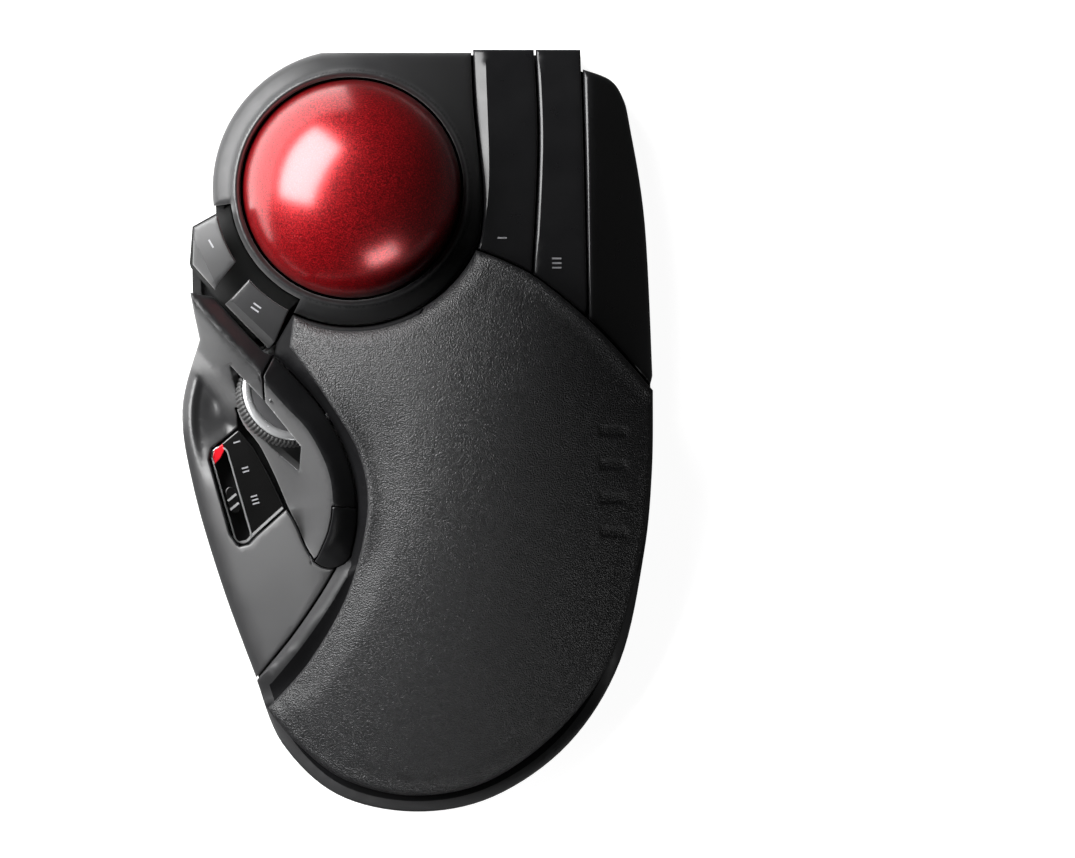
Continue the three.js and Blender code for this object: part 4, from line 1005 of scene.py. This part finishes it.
def capsule(start, end, radius, steps=16):
    """A rounded slot outline along the channel, between two distances from its front end."""
    turn = math.atan2(CHANNEL[1], CHANNEL[0])
    outline = []
    for at, first in ((end, -90), (start, 90)):
        centre = CHANNEL_FROM + CHANNEL * at
        for k in range(steps + 1):
            a = turn + math.radians(first + 180 * k / steps)
            outline.append(centre + radius * np.array([math.cos(a), math.sin(a)]))
    return np.array(outline)


def band(name, inner, outer, level, material, body):
    """A thin raised band between two outlines that have the same number of points."""
    n = len(inner)
    rows = ((inner, level), (outer, level), (outer, level - 0.3))
    vertices = [(*p, z) for points, z in rows for p in points]
    faces = []
    for i in range(n):
        j = (i + 1) % n
        faces.append((i, i + n, j + n, j))
        faces.append((i + n, i + 2 * n, j + 2 * n, j + n))
    make(name, vertices, faces, material, body)


def patch(name, outline, height, material, body, lift=0.04):
    """A small flat mark that lies on a surface, for print and for painted highlights."""
    outline = np.array(outline, float)
    z = height(outline) + lift
    vertices = [(x, y, h) for (x, y), h in zip(outline, z)]
    make(name, vertices, [tuple(range(len(outline)))], material, body)


def at_window(p):
    return np.full(len(p), WINDOW_Z)


def at_slider(p):
    return np.full(len(p), WINDOW_Z + SLIDER_RISE)


def at_lamp(p):
    return at_window(p) + 0.1


def bar_mark(centre, length, width, turn):
    """The outline of a short bar, turned by an angle in degrees."""
    a = math.radians(turn)
    u = np.array([math.cos(a), math.sin(a)]) * length / 2
    v = np.array([-math.sin(a), math.cos(a)]) * width / 2
    c = np.array(centre, float)
    return [c - u - v, c + u - v, c + u + v, c - u + v]


def printed_marks():
    """Plain bars: one on the right key, one to three on each function key, and some by the selector."""
    places = (
        ("right_key_mark", (20, 46), key_top, "right_key_body", 1, 0, (0, 1)),
        ("first_key_mark", (-49.3, 44.6), pod_top(FN1_CREASE), "fn1_body", 1, -60, (0, 1)),
        ("second_key_mark", (-38.6, 29.4), pod_top(FN2_CREASE), "fn2_body", 2, -35, (-0.57, -0.82)),
        ("third_key_mark", (33, 40), key_top, "fn3_body", 3, 0, (0, 1)),
    )
    for name, centre, height, body, count, turn, way in places:
        for k in range(count):
            shift = np.array(way) * 1.1 * (k - (count - 1) / 2)
            outline = bar_mark(np.array(centre) + shift, 2.2, 0.4, turn)
            patch(f"{name}_{k + 1}", outline, height, PRINT, body)
    for k, at in enumerate(((-43.2, -2.6), (-41.0, -9.6), (-38.6, -17.2))):
        for i in range(k + 1):
            centre = np.array(at) - CHANNEL * 0.9 * i
            outline = bar_mark(centre, 1.6, 0.35, 16)
            patch(f"speed_mark_{k + 1}_{i + 1}", outline, at_window, PRINT, "case")


def speed_panel():
    """The glossy window, the red lamp lens, and painted highlights: bright silver lines along the rear edge
    and round the channel stand for light reflected off their bevels.
    """
    slot = capsule(0, CHANNEL_LENGTH, CHANNEL_R)
    around = capsule(0, CHANNEL_LENGTH, CHANNEL_R + CHANNEL_HIGHLIGHT_WIDTH)
    shell("speed_panel", WINDOW, at_window, WINDOW_Z - 2, GLOSS, "case", ["speed_window"],
          radius=0.5, step=1.5, edge=0.8, cuts=[slot])
    shell("lamp_inlay", np.array(LAMP_OUTLINE), at_lamp, WINDOW_Z - 1.9, LAMP, "case", ["speed_lamp_lens"],
          radius=0.3, step=0.6, edge=0.4, gap=0.05)
    # Painted highlight: a silver band round the channel stands for the light off its bevel.
    band("channel_edge_highlight", slot, around, WINDOW_Z + 0.08, SILVER_AND_PAINTED_HIGHLIGHT, "case")
    # Painted highlight: silver bars along the window's rear edge stand for the light off its bevel.
    edge = densify(inset(WINDOW, SEAM + 0.5), 0.8)
    rear = edge[(edge[:, 1] < -17.8) & (edge[:, 0] > -42.5)]
    for k, (a, b) in enumerate(zip(rear[:-1], rear[1:])):
        length = np.hypot(*(b - a))
        if length < 2:
            turn = math.degrees(math.atan2(*(b - a)[::-1]))
            outline = bar_mark((a + b) / 2, length + 0.05, 0.6, turn)
            patch(f"window_edge_highlight_{k + 1}", outline, at_window, SILVER_AND_PAINTED_HIGHLIGHT, "case", 0.06)


def slider():
    """The speed selector's knob: a black cap with two bright slanting lines."""
    cap = capsule(*SLIDER_SPAN, SLIDER_R)
    shell("slider_cap", cap, at_slider, WINDOW_Z - 1.9, GLOSS, "slider_body", ["speed_slider"],
          radius=0.3, step=0.6, edge=0.4)
    for k, at in enumerate((10.4, 12.6)):
        outline = bar_mark(CHANNEL_FROM + CHANNEL * at, 2.6, 0.55, 40)
        patch(f"slider_line_{k + 1}", outline, at_slider, SILVER_AND_PAINTED_HIGHLIGHT, "slider_body")


def tactile_dot():
    """The small raised dot on the thumb face beside the wheel."""
    turns = [math.radians(t) for t in (0.1, 20, 40, 60, 80, 90, 105)]
    profile = [(DOT_R * math.sin(t), DOT_RISE * math.cos(t)) for t in turns]
    level = float(thumb(np.array([DOT_CENTRE]))[0])
    place = Matrix.Translation((*DOT_CENTRE, level - DOT_SINK))
    # Painted light: the dot takes the lighter thumb plastic.
    turned("tactile_dot", profile, 20, place, LIT_THUMB, "left_button_body")


ball()
wheel()
tyre()
tactile_dot()
printed_marks()
speed_panel()
slider()

# ---- the pieces shown as they are in the CAD ----
NODE_MATERIALS = (
    (("bottom_case", "battery_door"), SHELL),
    (("support_bead", "key_plunger", "pod_plunger"), CERAMIC),
    (("sensor_lens",), GLOSS),
    (("sensor_board", "key_board", "main_board"), BOARD),
    (("wheel_axle", "contact_spring", "screw"), STEEL),
    (("speed_slider", "power_switch_knob"), SILVER_AND_PAINTED_HIGHLIGHT),
    (("speed_lamp_lens",), LAMP),
    (("foot",), RUBBER),
    (("battery_1", "battery_2"), CELL),
)
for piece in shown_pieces():
    node = piece.get("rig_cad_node")
    if node:
        found = next((material for names, material in NODE_MATERIALS if node.startswith(names)), INNER)
        for socket in piece.material_slots:
            socket.link = "OBJECT"
            socket.material = found


# ---- stage ----
def floor(name, x0, x1, y0, y1, reflected):
    """Part of a white floor. Only the front left part is reflected, as if dark screens hid the rest."""
    mesh = bpy.data.meshes.new(name)
    mesh.from_pydata([(x0, y0, 0), (x1, y0, 0), (x1, y1, 0), (x0, y1, 0)], [], [(0, 1, 2, 3)])
    piece = bpy.data.objects.new(name, mesh)
    bpy.context.scene.collection.objects.link(piece)
    n = Nodes(name + "_white", Roughness=0.8)
    n.shader.inputs["Base Color"].default_value = (0.3, 0.3, 0.3, 1)
    n.shader.inputs["Emission Color"].default_value = (1, 1, 1, 1)
    n.shader.inputs["Emission Strength"].default_value = 0.93
    mesh.materials.append(n.material)
    piece.visible_diffuse = False
    piece.visible_glossy = reflected
    piece.location.z = -0.0001


def softbox(name, place, aim, width, height, power, reflected=True):
    """A rectangular lamp at a place, turned to what it aims at."""
    data = bpy.data.lights.new(name, "AREA")
    data.shape = "RECTANGLE"
    data.size, data.size_y = width, height
    data.energy = power
    lamp = bpy.data.objects.new(name, data)
    lamp.location = place
    lamp.visible_glossy = reflected
    lamp.rotation_euler = (Vector(aim) - Vector(place)).to_track_quat("-Z", "Y").to_euler()
    bpy.context.scene.collection.objects.link(lamp)


def world(strength):
    """A faint white light from all round."""
    made = bpy.data.worlds.new("studio")
    made.use_nodes = True
    made.node_tree.nodes["Background"].inputs["Color"].default_value = (1, 1, 1, 1)
    made.node_tree.nodes["Background"].inputs["Strength"].default_value = strength
    bpy.context.scene.world = made


def camera():
    """The camera looks straight down, without perspective."""
    data = bpy.data.cameras.new("camera")
    data.type = "ORTHO"
    data.ortho_scale = 0.2559
    piece = bpy.data.objects.new("camera", data)
    piece.location = (0.0284, 0.0005, 0.8)
    bpy.context.scene.collection.objects.link(piece)
    bpy.context.scene.camera = piece


floor("floor_left", -3.0, -0.02, 0.0, 3.0, True)
floor("floor_rear", -3.0, -0.02, -3.0, 0.0, False)
floor("floor_right", -0.02, 3.0, -3.0, 3.0, False)
softbox("key_softbox", (-0.46, 0.27, 0.36), (-0.015, 0.03, 0.03), 0.8, 0.5, 21.0)
softbox("left_softbox", (-0.6, -0.25, 0.1), (-0.03, 0.0, 0.02), 0.5, 0.16, 6.0, False)
softbox("rear_fill", (0.24, -0.5, 0.12), (0.0, 0.02, 0.04), 0.26, 0.2, 0.9)
world(0.04)
camera()
bpy.context.scene.view_settings.view_transform = "Standard"
